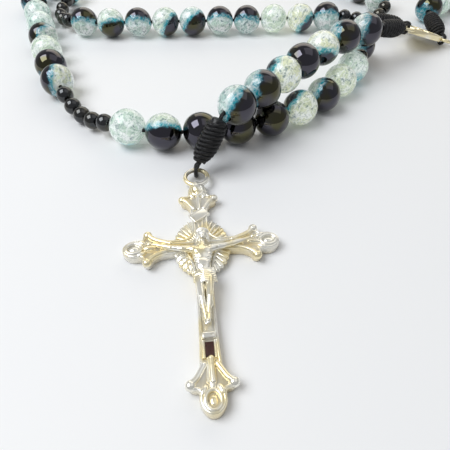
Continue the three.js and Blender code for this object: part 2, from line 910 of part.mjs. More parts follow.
function cross_outline() {
  const arms = [
    [cross_span / 2, 0],
    [cross_top_reach, 1],
    [cross_span / 2, 2],
    [cross_foot_reach, 3],
  ];
  const shape = new THREE.Shape();
  arms.forEach(([reach, quarter], arm) => {
    const turn = (quarter * Math.PI) / 2;
    arm_points(reach).forEach(([along, out], i) => {
      const x = along * Math.cos(turn) + out * Math.sin(turn);
      const y = along * Math.sin(turn) - out * Math.cos(turn) + cross_middle;
      if (arm === 0 && i === 0) shape.moveTo(x, y);
      else shape.lineTo(x, y);
    });
  });
  shape.closePath();
  return shape;
}

function halo_outline() {
  const shape = new THREE.Shape();
  for (let i = 0; i < halo_rays * 2; i += 1) {
    const angle = (i / (halo_rays * 2)) * Math.PI * 2;
    const radius = halo_diameter / 2 - (i % 2 ? halo_notch : 0);
    const x = radius * Math.cos(angle);
    const y = radius * Math.sin(angle) * halo_oval_share + cross_middle;
    if (i === 0) shape.moveTo(x, y);
    else shape.lineTo(x, y);
  }
  shape.closePath();
  return shape;
}

// Oval cells in the four tips, cut from the front
function cell_cuts() {
  const inset = fleur_length * cell_inset_share;
  const ends = [
    [cross_span / 2 - inset, cross_middle, Math.PI / 2],
    [inset - cross_span / 2, cross_middle, Math.PI / 2],
    [0, cross_tip - inset, 0],
    [0, cross_middle - cross_foot_reach + inset, 0],
  ];
  return ends.map(([x, y, turn]) => {
    const cell = new THREE.CylinderGeometry(1, 1, cell_depth + cut_overrun, core_sides);
    cell.rotateX(Math.PI / 2);
    cell.scale(cell_width / 2, cell_length / 2, 1);
    cell.rotateZ(turn);
    cell.translate(x, y, cross_thickness - cell_depth + (cell_depth + cut_overrun) / 2);
    return cell;
  });
}

function groove_cuts() {
  const from = halo_diameter / 2 + groove_margin;
  const below = (halo_diameter / 2) * halo_oval_share + groove_margin;
  const side_length = cross_span / 2 - fleur_length - from + groove_margin;
  const shaft_length = footrest_drop - footrest_length / 2 - below - groove_margin;
  const floor = cross_thickness - groove_depth;
  const height = groove_depth + cut_overrun;
  const shift = shaft_width / 4;
  const cuts = [];
  for (const side of [-1, 1]) {
    for (const arm of [-1, 1]) {
      const x = arm * (from + side_length / 2);
      cuts.push(block(side_length, groove_width, height, x, cross_middle + side * shift, floor));
    }
    const y = cross_middle - below - shaft_length / 2;
    cuts.push(block(groove_width, shaft_length, height, side * shift, y, floor));
  }
  return cuts;
}

function cross_body() {
  const title_base = cross_thickness - title_sink;
  const title = block(title_length, title_width, title_height + title_sink, 0, 0, title_base);
  title.rotateZ(title_turn);
  title.translate(0, cross_middle + title_rise, 0);
  const foot_y = cross_middle - footrest_drop;
  const footrest_base = cross_thickness - footrest_sink;
  const window_y = foot_y - footrest_length / 2 - window_gap - window_length / 2;
  const window_floor = cross_thickness - window_depth;
  const solids = join([
    slab(cross_outline(), 0, cross_thickness),
    slab(halo_outline(), halo_base, halo_thickness),
    title,
    block(footrest_width, footrest_length, footrest_height + footrest_sink, 0, foot_y, footrest_base),
    eye_ring(0, -cross_eye_radius, crucifix_wire.z, cross_eye_radius, cross_eye_wire),
  ]);
  const window = block(window_width, window_length, window_depth + cut_overrun, 0, window_y, window_floor);
  return [...cell_cuts(), ...groove_cuts(), window].reduce((body, cut) => body.subtract(solid(cut)), solids);
}

const cross = add("cross", geometry_of(cross_body()), materials.silver, { body: "crucifix" });

// Figure: arms along the bar, knees and feet together, a cloth at the hips
function ball(place, width, length, depth) {
  const geometry = new THREE.SphereGeometry(1, ball_sides, ball_rings);
  geometry.scale(width / 2, length / 2, depth / 2);
  geometry.translate(place.x, place.y, place.z);
  return geometry;
}

function figure_body() {
  const top = cross_middle + figure_height * figure_top_share;
  const level = cross_thickness + figure_gap + figure_depth / 2;
  const at = ([x_share, y_share], side = 1) =>
    new THREE.Vector3(side * x_share * figure_span, top - y_share * figure_height, level);
  const limb = limb_diameter / 2;
  const pieces = [
    ball(at(head_place_shares), figure_head, figure_head * head_length_share, figure_head),
    rod(at(neck_from_shares), at(neck_to_shares), limb, limb, ball_sides),
    ...torso_shares.map(([down, width, length, depth]) =>
      ball(at([0, down]), limb_diameter * width, figure_height * length, figure_depth * depth),
    ),
  ];
  const elbow_ball = limb_diameter * elbow_taper_share;
  for (const side of [-1, 1]) {
    const shoulder = at(shoulder_shares, side);
    const elbow = at(elbow_shares, side);
    const hand = at(hand_shares, side);
    const hip = at(hip_shares, side);
    const knee = at(knee_shares, side);
    knee.z += figure_depth * knee_rise_share;
    const foot = at(foot_shares, side);
    pieces.push(
      ball(shoulder, limb_diameter, limb_diameter, limb_diameter),
      rod(shoulder, elbow, limb, limb * elbow_taper_share, ball_sides),
      rod(elbow, hand, limb * elbow_taper_share, limb * wrist_taper_share, ball_sides),
      ball(elbow, elbow_ball, elbow_ball, elbow_ball),
      ball(hand, hand_diameter, hand_diameter, hand_diameter),
      rod(hip, knee, limb * thigh_taper_share, limb * knee_taper_share, ball_sides),
      rod(knee, foot, limb * knee_taper_share, limb * ankle_taper_share, ball_sides),
      ball(knee, limb_diameter, limb_diameter, limb_diameter),
      ball(foot, hand_diameter, hand_diameter * foot_length_share, hand_diameter),
    );
  }
  const behind = cross_thickness + figure_gap;
  const back = block(cross_span, cross_foot_reach * 2, behind + cut_overrun, 0, cross_middle, -cut_overrun);
  return join(pieces).subtract(solid(back));
}

const figure = add("figure", geometry_of(figure_body()), materials.silver, { body: "crucifix" });
for (const piece of [cross, figure]) {
  piece.rotation.z = crucifix_turn;
  piece.position.set(crucifix_wire.x, crucifix_wire.y, 0);
}

// The origin goes under the middle of the whole
root.updateMatrixWorld(true);
const middle = new THREE.Box3().setFromObject(root, true).getCenter(new THREE.Vector3());
root.position.set(-middle.x, -middle.y, 0);
root.updateMatrixWorld(true);
root.userData.joints = {
  medal: {
    at: front_end.wire.clone().lerp(back_end.wire, 0.5),
    axis: front_end.wire.clone().sub(back_end.wire).normalize(),
  },
  pendant_strand: { at: lower_hook.wire.clone(), axis: medal_side.clone() },
  crucifix: { at: crucifix_wire.clone(), axis: crucifix_tangent.clone() },
};
console.log(`least gap in a knot's winding: ${winding_gap().toFixed(2)} mm`);

export default root;
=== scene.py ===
"""The looks of a five-decade rosary of crackled glass beads on black nylon cord.

Everything is in metres in the frame's own axes: +X right, +Y away from the viewer, +Z up, the table
at Z = 0. The cord's route is strung again here by the same rules as in the part's source, because
the script reads nothing but the frame.
"""
import json
import logging
import math
from dataclasses import dataclass
from enum import Enum
from itertools import islice
from typing import Any, Sequence

import bmesh
import bpy
import numpy as np
from bpy.types import Material, Mesh, Node, NodeSocket, NodeTree, Object
from mathutils import Matrix, Vector

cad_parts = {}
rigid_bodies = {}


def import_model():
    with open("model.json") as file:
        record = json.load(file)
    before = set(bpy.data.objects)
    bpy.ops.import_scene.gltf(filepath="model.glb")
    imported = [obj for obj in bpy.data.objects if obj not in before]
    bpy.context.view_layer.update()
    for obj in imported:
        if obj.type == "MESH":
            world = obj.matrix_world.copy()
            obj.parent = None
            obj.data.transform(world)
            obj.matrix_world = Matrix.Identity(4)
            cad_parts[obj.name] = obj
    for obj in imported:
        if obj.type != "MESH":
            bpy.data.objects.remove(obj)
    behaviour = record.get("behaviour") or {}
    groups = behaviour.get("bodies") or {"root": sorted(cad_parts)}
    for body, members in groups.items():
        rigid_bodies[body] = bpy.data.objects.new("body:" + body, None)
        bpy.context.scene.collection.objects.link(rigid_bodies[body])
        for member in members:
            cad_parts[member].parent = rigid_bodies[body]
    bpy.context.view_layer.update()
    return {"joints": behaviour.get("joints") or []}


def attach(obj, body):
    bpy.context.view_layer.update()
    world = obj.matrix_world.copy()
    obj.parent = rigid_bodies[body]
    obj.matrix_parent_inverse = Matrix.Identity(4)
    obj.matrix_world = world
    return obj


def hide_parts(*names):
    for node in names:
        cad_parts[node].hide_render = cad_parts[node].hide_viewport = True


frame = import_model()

MM = 0.001
log = logging.getLogger("rosary")


class Signal:
    """A node's output socket that takes arithmetic, so that shader maths reads as an expression."""

    def __init__(self, graph: "Graph", socket: NodeSocket) -> None:
        """Keeps the socket and the graph it belongs to."""
        self.graph = graph
        self.socket = socket

    def math(self, operation: str, *values: Any) -> "Signal":
        """Returns the result of one Math node on this socket and the other values."""
        inputs = dict(enumerate((self, *values)))
        return self.graph.add("ShaderNodeMath", {"operation": operation}, inputs)

    def __add__(self, other: Any) -> "Signal":
        """Sum."""
        return self.math("ADD", other)

    __radd__ = __add__

    def __mul__(self, other: Any) -> "Signal":
        """Product."""
        return self.math("MULTIPLY", other)

    __rmul__ = __mul__

    def __sub__(self, other: Any) -> "Signal":
        """Difference."""
        return self.math("SUBTRACT", other)

    def __rsub__(self, other: Any) -> "Signal":
        """Difference from a number."""
        return self.math("MULTIPLY_ADD", -1.0, other)

    def __truediv__(self, other: Any) -> "Signal":
        """Quotient."""
        return self.math("DIVIDE", other)

    def step(self, low: float, high: float) -> "Signal":
        """Returns a smooth rise from 0 at low to 1 at high."""
        settings = {"interpolation_type": "SMOOTHSTEP"}
        return self.graph.add("ShaderNodeMapRange", settings, {0: self, 1: low, 2: high})


class Graph:
    """Adds nodes to one node tree and links them."""

    def __init__(self, tree: NodeTree) -> None:
        """Keeps the tree."""
        self.tree = tree

    def node(self, kind: str, settings: dict | None = None, inputs: dict | None = None) -> Node:
        """Adds a node of any kind.

        Args:
            kind: The node's type.
            settings: Its properties, set first.
            inputs: Values or links of its sockets, by name or place.

        Returns:
            The node.
        """
        node = self.tree.nodes.new(kind)
        for name, value in (settings or {}).items():
            setattr(node, name, value)
        for key, value in (inputs or {}).items():
            if isinstance(value, Signal):
                value = value.socket
            if isinstance(value, NodeSocket):
                self.tree.links.new(value, node.inputs[key])
            else:
                node.inputs[key].default_value = value
        return node

    def add(
        self,
        kind: str,
        settings: dict | None = None,
        inputs: dict | None = None,
        out: Any = 0,
    ) -> Signal:
        """Adds a node and returns one of its outputs."""
        return Signal(self, self.node(kind, settings, inputs).outputs[out])

    def attribute(self, name: str, out: str = "Fac") -> Signal:
        """Returns a mesh attribute."""
        return self.add("ShaderNodeAttribute", {"attribute_name": name}, {}, out)

    def noise(self, vector: Signal, scale: float, detail: float = 3.0) -> Signal:
        """Returns noise between 0 and 1."""
        inputs = {"Vector": vector, "Scale": scale, "Detail": detail}
        return self.add("ShaderNodeTexNoise", {}, inputs)

    def cracks(self, vector: Signal, scale: float, width: float) -> Signal:
        """Draws thin lines between random cells: 1 on the lines and 0 inside the cells.

        Args:
            vector: The place.
            scale: Cells in a unit.
            width: The lines' width.

        Returns:
            The value.
        """
        inputs = {"Vector": vector, "Scale": scale}
        edge = self.add("ShaderNodeTexVoronoi", {"feature": "DISTANCE_TO_EDGE"}, inputs)
        return 1 - edge.step(0.0, width)

    def mix(self, factor: Any, one: Any, other: Any) -> Signal:
        """Returns a colour between two colours."""
        settings = {"data_type": "RGBA"}
        return self.add("ShaderNodeMix", settings, {0: factor, 6: one, 7: other}, 2)

    def bump(self, height: Signal, depth: float, strength: float = 1.0) -> Signal:
        """Returns a normal bent by a height."""
        inputs = {"Height": height, "Distance": depth, "Strength": strength}
        return self.add("ShaderNodeBump", {}, inputs, "Normal")

    def objects(self) -> Signal:
        """Returns the place on the object."""
        return self.add("ShaderNodeTexCoord", {}, {}, "Object")


def rgb(red: float, green: float, blue: float) -> tuple[float, float, float, float]:
    """Returns a linear colour as a node takes it."""
    return (red, green, blue, 1.0)


def dressed(name: str) -> tuple[Material, Graph]:
    """Makes an empty node material.

    Args:
        name: Its name.

    Returns:
        The material and its graph.
    """
    material = bpy.data.materials.new(name)
    material.use_nodes = True
    material.node_tree.nodes.clear()
    return material, Graph(material.node_tree)


def closed(material: Material, graph: Graph, inputs: dict) -> Material:
    """Ends a material in one surface shader with these inputs.

    Args:
        material: The material.
        graph: Its graph.
        inputs: The shader's inputs.

    Returns:
        The material.
    """
    shader = graph.node("ShaderNodeBsdfPrincipled", {}, inputs)
    graph.node("ShaderNodeOutputMaterial", {}, {0: shader.outputs[0]})
    return material


@dataclass(frozen=True)
class CrackledGlass:
    """Glass full of fine cracks, with a dark mirror plating over part of each bead and a painted
    glow.
    """

    mint: tuple = rgb(0.50, 0.70, 0.67)
    straw: tuple = rgb(0.82, 0.83, 0.56)
    white: tuple = rgb(0.97, 1.0, 0.99)
    shade: tuple = rgb(0.16, 0.24, 0.25)
    turquoise: tuple = rgb(0.01, 0.30, 0.38)
    petrol: tuple = rgb(0.01, 0.08, 0.12)
    plating: tuple = rgb(0.054, 0.051, 0.068)
    olive: tuple = rgb(0.062, 0.058, 0.022)
    black: tuple = rgb(0.0, 0.0, 0.0)
    clearness: float = 0.42
    # painted light: the clear glass glows a little, standing in for light that passes through it
    painted_glow: float = 0.2
    crack_depth: float = 0.05 * MM

    def build(self) -> Material:
        """Builds the material, which reads each bead's own place, tone and warmth from the mesh.

        Returns:
            The material.
        """
        material, g = dressed("crackled_glass")
        place = g.attribute("bead_place", "Vector")
        ragged = g.noise(place, 1.9, 5.0) - 0.5
        tone = g.attribute("bead_tone") + ragged * 0.75
        warmth = g.attribute("bead_warmth")
        shift = g.noise(place, 2.4, 2.0) * 0.9
        bent = g.add("ShaderNodeVectorMath", {"operation": "ADD"}, {0: place, 1: shift})
        coarse = g.cracks(bent, 1.7, 0.08)
        fine = g.cracks(bent, 4.1, 0.10)
        flakes = g.noise(place, 4.5, 5.0)
        cells = g.noise(place, 1.9, 6.0)
        clear = g.mix(warmth, self.mint, self.straw)
        clear = g.mix(cells.step(0.47, 0.60) * 0.9, clear, self.white)
        clear = g.mix(flakes.step(0.53, 0.68) * 0.8, clear, self.shade)
        clear = g.mix(fine * 0.55, clear, self.shade)
        clear = g.mix(coarse * 0.8, clear, self.white)
        teal = g.mix(fine * 0.35 + flakes.step(0.5, 0.62) * 0.35, self.turquoise, self.white)
        teal = g.mix(tone.step(-0.05, 0.22), teal, self.petrol)
        plated = g.mix(g.noise(place, 0.8, 1.0).step(0.45, 0.65), self.plating, self.olive)
        colour = g.mix(tone.step(-0.32, -0.05), clear, teal)
        colour = g.mix(tone.step(0.12, 0.26), colour, plated)
        plate = tone.step(0.08, 0.24)
        relief = (coarse * 0.6 + fine * 0.4) * (1 - plate)
        return closed(material, g, {
            "Base Color": colour,
            "Metallic": plate,
            "Roughness": 0.035 + relief * 0.12,
            "IOR": 1.5,
            "Transmission Weight": self.clearness,
            # Painted light: the unplated glass glows in its own colour, and the plating not at all.
            "Emission Color": g.mix(plate, colour, self.black),
            "Emission Strength": self.painted_glow,
            "Coat Weight": 0.6,
            "Coat Roughness": 0.02,
            "Normal": g.bump(relief, self.crack_depth, 0.5),
        })


@dataclass(frozen=True)
class BlackGlass:
    """Small opaque beads with a dark mirror shine."""

    colour: tuple = rgb(0.045, 0.048, 0.052)
    warm: tuple = rgb(0.060, 0.055, 0.040)

    def build(self) -> Material:
        """Builds the material.

        Returns:
            The material.
        """
        material, g = dressed("black_glass")
        place = g.objects()
        return closed(material, g, {
            "Base Color": g.mix(g.noise(place, 260.0).step(0.4, 0.65), self.colour, self.warm),
            "Metallic": 0.85,
            "Roughness": 0.07 + g.noise(place, 900.0) * 0.07,
            "Coat Weight": 0.5,
            "Coat Roughness": 0.03,
            "Normal": g.bump(g.noise(place, 700.0), 0.01 * MM, 0.25),
        })


@dataclass(frozen=True)
class BlackNylon:
    """Twisted black nylon: glossy filaments that lie along each ply, with a painted glint along
    them.
    """

    black: tuple = rgb(0.003, 0.003, 0.004)
    # painted highlight: a lighter grey laid along the crests of the filaments
    filament_glint: tuple = rgb(0.030, 0.030, 0.034)
    filaments: float = 26.0

    def build(self) -> Material:
        """Builds the material, which reads the place along and around the cord from the mesh.

        Returns:
            The material.
        """
        material, g = dressed("black_nylon")
        around = g.attribute("cord_around")
        along = g.attribute("cord_along")
        lay = (around * self.filaments + along * 2.2).math("SINE")
        fuzz = g.noise(g.objects(), 2600.0, 4.0)
        strand = lay * 0.5 + 0.5
        # The filaments' crests take the lighter grey in random patches: a painted glint.
        return closed(material, g, {
            "Base Color": g.mix(strand * fuzz.step(0.35, 0.75), self.black, self.filament_glint),
            "Roughness": 0.24 + fuzz * 0.2,
            "Specular IOR Level": 0.42,
            "Sheen Weight": 0.03,
            "Sheen Roughness": 0.4,
            "Normal": g.bump(strand * 0.7 + fuzz * 0.3, 0.05 * MM, 0.7),
        })


@dataclass(frozen=True)
class CastSilver:
    """Polished cast metal: pale silver with warm patches, soft dimples and faint tarnish."""

    name: str = "cast_silver"
    silver: tuple = rgb(0.95, 0.93, 0.85)
    gold: tuple = rgb(0.96, 0.85, 0.55)
    tarnish: tuple = rgb(0.46, 0.40, 0.28)
    warmth: float = 0.75
    dimples: float = 0.05 * MM

    def build(self) -> Material:
        """Builds the material.

        Returns:
            The material.
        """
        material, g = dressed(self.name)
        place = g.objects()
        broad = g.noise(place, 190.0, 2.0)
        small = g.noise(place, 850.0, 4.0)
        low = 0.62 - 0.3 * self.warmth
        colour = g.mix(broad.step(low, low + 0.16), self.silver, self.gold)
        colour = g.mix(small.step(0.62, 0.72) * 0.5, colour, self.tarnish)
        return closed(material, g, {
            "Base Color": colour,
            "Metallic": 0.66,
            "Roughness": 0.10 + small * 0.12,
            "Normal": g.bump(broad * 0.6 + small * 0.4, self.dimples, 0.6),
        })


@dataclass(frozen=True)
class PaintedShadeRecess:
    """The bottom of the little window: a dark red-brown sheet of painted shade."""

    dark: tuple = rgb(0.014, 0.005, 0.004)
    red: tuple = rgb(0.075, 0.018, 0.010)

    def build(self) -> Material:
        """Builds the material.

        Returns:
            The material.
        """
        material, g = dressed("painted_shade_recess")
        place = g.objects()
        return closed(material, g, {
            "Base Color": g.mix(g.noise(place, 1500.0), self.dark, self.red),
            "Roughness": 0.2 + g.noise(place, 2600.0) * 0.2,
            "Coat Weight": 0.4,
            "Normal": g.bump(g.noise(place, 2200.0), 0.03 * MM, 0.5),
        })


@dataclass(frozen=True)
class PaleTable:
    """The plain white table."""

    white: tuple = rgb(0.87, 0.87, 0.87)
    cool: tuple = rgb(0.84, 0.85, 0.87)

    def build(self) -> Material:
        """Builds the material.

        Returns:
            The material.
        """
        material, g = dressed("pale_table")
        place = g.objects()
        return closed(material, g, {
            "Base Color": g.mix(g.noise(place, 9.0, 2.0), self.white, self.cool),
            "Roughness": 0.5 + g.noise(place, 30.0) * 0.1,
            "Specular IOR Level": 0.25,
        })


class Palette:
    """Every finish of the scene, each built once."""

    def __init__(self) -> None:
        """Builds the finishes."""
        self.glass = CrackledGlass().build()
        self.black = BlackGlass().build()
        self.nylon = BlackNylon().build()
        self.silver = CastSilver().build()
        fine = 0.03 * MM
        # A darker copy of the cast finish for the plate under the relief: painted shade in the
        # recesses.
        shaded_silver, shaded_gold = rgb(0.84, 0.81, 0.72), rgb(0.86, 0.75, 0.50)
        self.low = CastSilver("cast_painted_shade", shaded_silver, shaded_gold, dimples=fine).build()
        self.figure = CastSilver("cast_figure", dimples=fine).build()
        self.medal = CastSilver("cast_medal", warmth=0.9, dimples=fine).build()
        self.recess = PaintedShadeRecess().build()
        self.table = PaleTable().build()


def place_in_scene(name: str, mesh: Mesh, material: Material | None) -> Object:
    """Makes an object of a finished mesh, with outward normals and smooth shading.

    Args:
        name: The piece's name.
        mesh: Its mesh, in metres in the frame.
        material: Its finish, or None where the mesh has one.

    Returns:
        The object, at the origin.
    """
    solid = bmesh.new()
    solid.from_mesh(mesh)
    bmesh.ops.recalc_face_normals(solid, faces=solid.faces)
    solid.to_mesh(mesh)
    solid.free()
    mesh.name = name
    mesh.shade_smooth()
    if material is not None:
        mesh.materials.clear()
        mesh.materials.append(material)
    piece = bpy.data.objects.new(name, mesh)
    bpy.context.scene.collection.objects.link(piece)
    return piece


def mesh_of(name: str, points: np.ndarray, faces: Sequence[Sequence[int]]) -> Mesh:
    """Makes a mesh of points and faces.

    Args:
        name: Its name.
        points: Its points.
        faces: Its faces, as numbers of points.

    Returns:
        The mesh.
    """
    mesh = bpy.data.meshes.new(name)
    mesh.from_pydata([tuple(point) for point in points], [], [tuple(face) for face in faces])
    mesh.update()
    return mesh


def fit(piece: Object, body: str, slot: str, *nodes: str) -> None:
    """Lets a piece ride on a body and stand for CAD nodes.

    Args:
        piece: The piece.
        body: The body.
        slot: Not used.
        nodes: The nodes.
    """
    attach(piece, body)
    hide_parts(*nodes)


def turned(section: Sequence[Sequence[float]], sides: int) -> np.ndarray:
    """Turns a half section round the Z axis, row by row.

    Args:
        section: Distances from and along the axis.
        sides: The points in a row.

    Returns:
        The points.
    """
    angles = np.arange(sides) * math.tau / sides
    circle = np.stack([np.cos(angles), np.sin(angles)], axis=1)
    return np.concatenate([np.hstack([circle * x, np.full((sides, 1), z)]) for x, z in section])


def walls(rows: int, around: int, first: int = 0, closes: bool = False) -> list[tuple[int, ...]]:
    """Returns the faces between rows of points that each go once round.

    Args:
        rows: How many rows there are.
        around: The points in a row.
        first: The number of the first point.
        closes: Whether the last row joins the first.

    Returns:
        The faces.
    """
    faces = []
    for row in range(rows if closes else rows - 1):
        low, high = first + row * around, first + (row + 1) % rows * around
        for j in range(around):
            after = (j + 1) % around
            faces.append((low + j, low + after, high + after, high + j))
    return faces


def joined(name: str, meshes: Sequence[Mesh]) -> Mesh:
    """Joins meshes into one.

    Args:
        name: The mesh's name.
        meshes: The meshes, which are removed.

    Returns:
        The mesh.
    """
    whole = bmesh.new()
    for mesh in meshes:
        whole.from_mesh(mesh)
    result = bpy.data.meshes.new(name)
    whole.to_mesh(result)
    whole.free()
    for mesh in meshes:
        bpy.data.meshes.remove(mesh)
    return result


def basis(along: Vector, hint: Vector = Vector((0, 0, 1))) -> Matrix:
    """Finds a turn that takes Z to a direction.

    Args:
        along: The direction.
        hint: What the turned Y leans toward.

    Returns:
        The turn.
    """
    z = along.normalized()
    if abs(z.dot(hint)) > 0.97:
        hint = Vector((1, 0, 0))
    x = hint.cross(z).normalized()
    return Matrix((x, z.cross(x), z)).transposed()


def rounded(points: Sequence[np.ndarray], reach: float, steps: int = 6) -> list[np.ndarray]:
    """Rounds the corners of a route.

    Args:
        points: The route's corners.
        reach: How far from each corner the curve starts, in metres.
        steps: Points on each curve.

    Returns:
        The route's points.
    """
    route = [points[0]]
    for before, at, after in zip(points, points[1:], points[2:]):
        arriving, leaving = at - before, after - at
        start = at - arriving * min(0.49, reach / np.linalg.norm(arriving))
        end = at + leaving * min(0.49, reach / np.linalg.norm(leaving))
        for step in range(steps + 1):
            t = step / steps
            route.append((1 - t) ** 2 * start + 2 * t * (1 - t) * at + t**2 * end)
    route.append(points[-1])
    return route


def spaced(route: Sequence[np.ndarray], step: float) -> np.ndarray:
    """Places points at equal steps along a route.

    Args:
        route: The route.
        step: The step, about.

    Returns:
        The points.
    """
    points = np.array(route)
    lengths = np.concatenate([[0.0], np.cumsum(np.linalg.norm(np.diff(points, axis=0), axis=1))])
    places = np.linspace(0.0, lengths[-1], max(2, int(round(lengths[-1] / step)) + 1))
    return np.stack([np.interp(places, lengths, points[:, k]) for k in range(3)], axis=1)


def length_of(route: Sequence[np.ndarray]) -> float:
    """Returns a route's length."""
    return float(np.linalg.norm(np.diff(np.array(route), axis=0), axis=1).sum())


@dataclass
class Given:
    """The inputs of a Geometry Nodes tree, taken by name."""

    graph: Graph
    node: Node

    def __getitem__(self, name: str) -> Signal:
        """Returns one input."""
        return Signal(self.graph, self.node.outputs[name])


def geometry_tree(name: str, inputs: dict[str, str]) -> tuple[NodeTree, Graph, Given]:
    """Makes a Geometry Nodes tree with named inputs.

    Args:
        name: The tree's name.
        inputs: The type of each input's socket.

    Returns:
        The tree, its graph and its inputs.
    """
    tree = bpy.data.node_groups.new(name, "GeometryNodeTree")
    for label, kind in inputs.items():
        tree.interface.new_socket(name=label, in_out="INPUT", socket_type=kind)
    tree.interface.new_socket(name="Geometry", in_out="OUTPUT", socket_type="NodeSocketGeometry")
    graph = Graph(tree)
    return tree, graph, Given(graph, graph.node("NodeGroupInput"))


def grown(tree: NodeTree, name: str, helper: Object, given: dict[str, Any]) -> Mesh:
    """Runs a Geometry Nodes tree and returns its result as a plain mesh.

    Args:
        tree: The tree.
        name: The mesh's name.
        helper: The object that the tree reads, removed afterwards.
        given: The tree's inputs by name.

    Returns:
        The mesh.
    """
    host = bpy.data.objects.new(name + "_host", bpy.data.meshes.new(name))
    for item in (helper, host):
        bpy.context.scene.collection.objects.link(item)
    run_nodes = host.modifiers.new(name, "NODES")
    run_nodes.node_group = tree
    for item in tree.interface.items_tree:
        if item.in_out == "INPUT" and item.name in given:
            run_nodes[item.identifier] = given[item.name]
    bpy.context.view_layer.update()
    graph = bpy.context.evaluated_depsgraph_get()
    mesh = bpy.data.meshes.new_from_object(host.evaluated_get(graph))
    host.modifiers.remove(run_nodes)
    for item in (host, helper):
        data = item.data
        bpy.data.objects.remove(item)
        if isinstance(data, Mesh):
            bpy.data.meshes.remove(data)
        else:
            bpy.data.curves.remove(data)
    return mesh


class Sweep:
    """A Geometry Nodes tree that lays a twisted cord along a route."""

    def __init__(self) -> None:
        """Builds the tree."""
        self.tree, g, given = geometry_tree("twisted_cord", {
            "Route": "NodeSocketObject",
            "Radius": "NodeSocketFloat",
            "Ply Depth": "NodeSocketFloat",
            "Plies": "NodeSocketFloat",
            "Twist Length": "NodeSocketFloat",
            "Step": "NodeSocketFloat",
            "Sides": "NodeSocketInt",
            "Finish": "NodeSocketMaterial",
        })
        stored = {"data_type": "FLOAT", "domain": "POINT"}
        original = {"transform_space": "ORIGINAL"}
        info = g.add("GeometryNodeObjectInfo", original, {"Object": given["Route"]}, "Geometry")
        inputs = {"Curve": info, "Length": given["Step"]}
        line = g.add("GeometryNodeResampleCurve", {"mode": "LENGTH"}, inputs)
        along = g.add("GeometryNodeSplineParameter", {}, {}, "Length")
        line = g.add("GeometryNodeSetCurveNormal", {"mode": "MINIMUM_TWIST"}, {"Curve": line})
        tilt = along / given["Twist Length"] * math.tau
        line = g.add("GeometryNodeSetCurveTilt", {}, {"Curve": line, "Tilt": tilt})
        in_radii = along / given["Radius"]
        line = g.add("GeometryNodeStoreNamedAttribute", stored, {
            "Geometry": line, "Name": "cord_along", "Value": in_radii,
        })
        circle = g.add("GeometryNodeCurvePrimitiveCircle", {"mode": "RADIUS"}, {
            "Resolution": given["Sides"], "Radius": given["Radius"],
        })
        place = g.add("GeometryNodeInputPosition")
        split = g.node("ShaderNodeSeparateXYZ", {}, {0: place})
        angle = Signal(g, split.outputs[1]).math("ARCTAN2", Signal(g, split.outputs[0]))
        lobes = (angle * given["Plies"]).math("COSINE") * given["Ply Depth"]
        share = 1.0 - given["Ply Depth"] + lobes
        lobed = g.add("ShaderNodeVectorMath", {"operation": "SCALE"}, {0: place, "Scale": share})
        outline = g.add("GeometryNodeSetPosition", {}, {"Geometry": circle, "Position": lobed})
        outline = g.add("GeometryNodeStoreNamedAttribute", stored, {
            "Geometry": outline, "Name": "cord_around", "Value": angle,
        })
        tube = g.add("GeometryNodeCurveToMesh", {}, {
            "Curve": line, "Profile Curve": outline, "Fill Caps": True,
        })
        whole = g.add("GeometryNodeRealizeInstances", {}, {"Geometry": tube})
        finish = {"Geometry": whole, "Material": given["Finish"]}
        g.node("NodeGroupOutput", {}, {"Geometry": g.add("GeometryNodeSetMaterial", {}, finish)})

    def lay(
        self,
        name: str,
        route: np.ndarray,
        material: Material,
        radius: float,
        step: float,
        sides: int = 12,
        plies: int = 3,
        ply_depth: float = 0.07,
        twist_length: float = 3.2 * MM,
    ) -> Mesh:
        """Lays a cord along a route.

        Args:
            name: The mesh's name.
            route: The centreline's points.
            material: The cord's finish.
            radius: The cord's radius.
            step: The distance between two rings.
            sides: Sides of the cord's section.
            plies: How many plies it is twisted of.
            ply_depth: How deep the plies' grooves are, as a share of the radius.
            twist_length: The cord's length for one turn of a ply.

        Returns:
            A plain mesh.
        """
        curve = bpy.data.curves.new(name, "CURVE")
        curve.dimensions = "3D"
        spline = curve.splines.new("POLY")
        spline.points.add(len(route) - 1)
        spline.points.foreach_set("co", np.hstack([route, np.ones((len(route), 1))]).ravel())
        path = bpy.data.objects.new(name + "_route", curve)
        return grown(self.tree, name, path, {
            "Route": path, "Radius": radius, "Ply Depth": ply_depth, "Plies": float(plies),
            "Twist Length": twist_length, "Step": step, "Sides": sides, "Finish": material,
        })

    def wire(
        self,
        name: str,
        route: np.ndarray,
        material: Material,
        radius: float,
        step: float,
    ) -> Mesh:
        """Lays a smooth round wire along a route."""
        smooth = {"plies": 0, "ply_depth": 0.0, "twist_length": 1.0}
        return self.lay(name, route, material, radius, step, **smooth)


class Kind(Enum):
    """The two kinds of bead."""

    LARGE = "large"
    SMALL = "small"


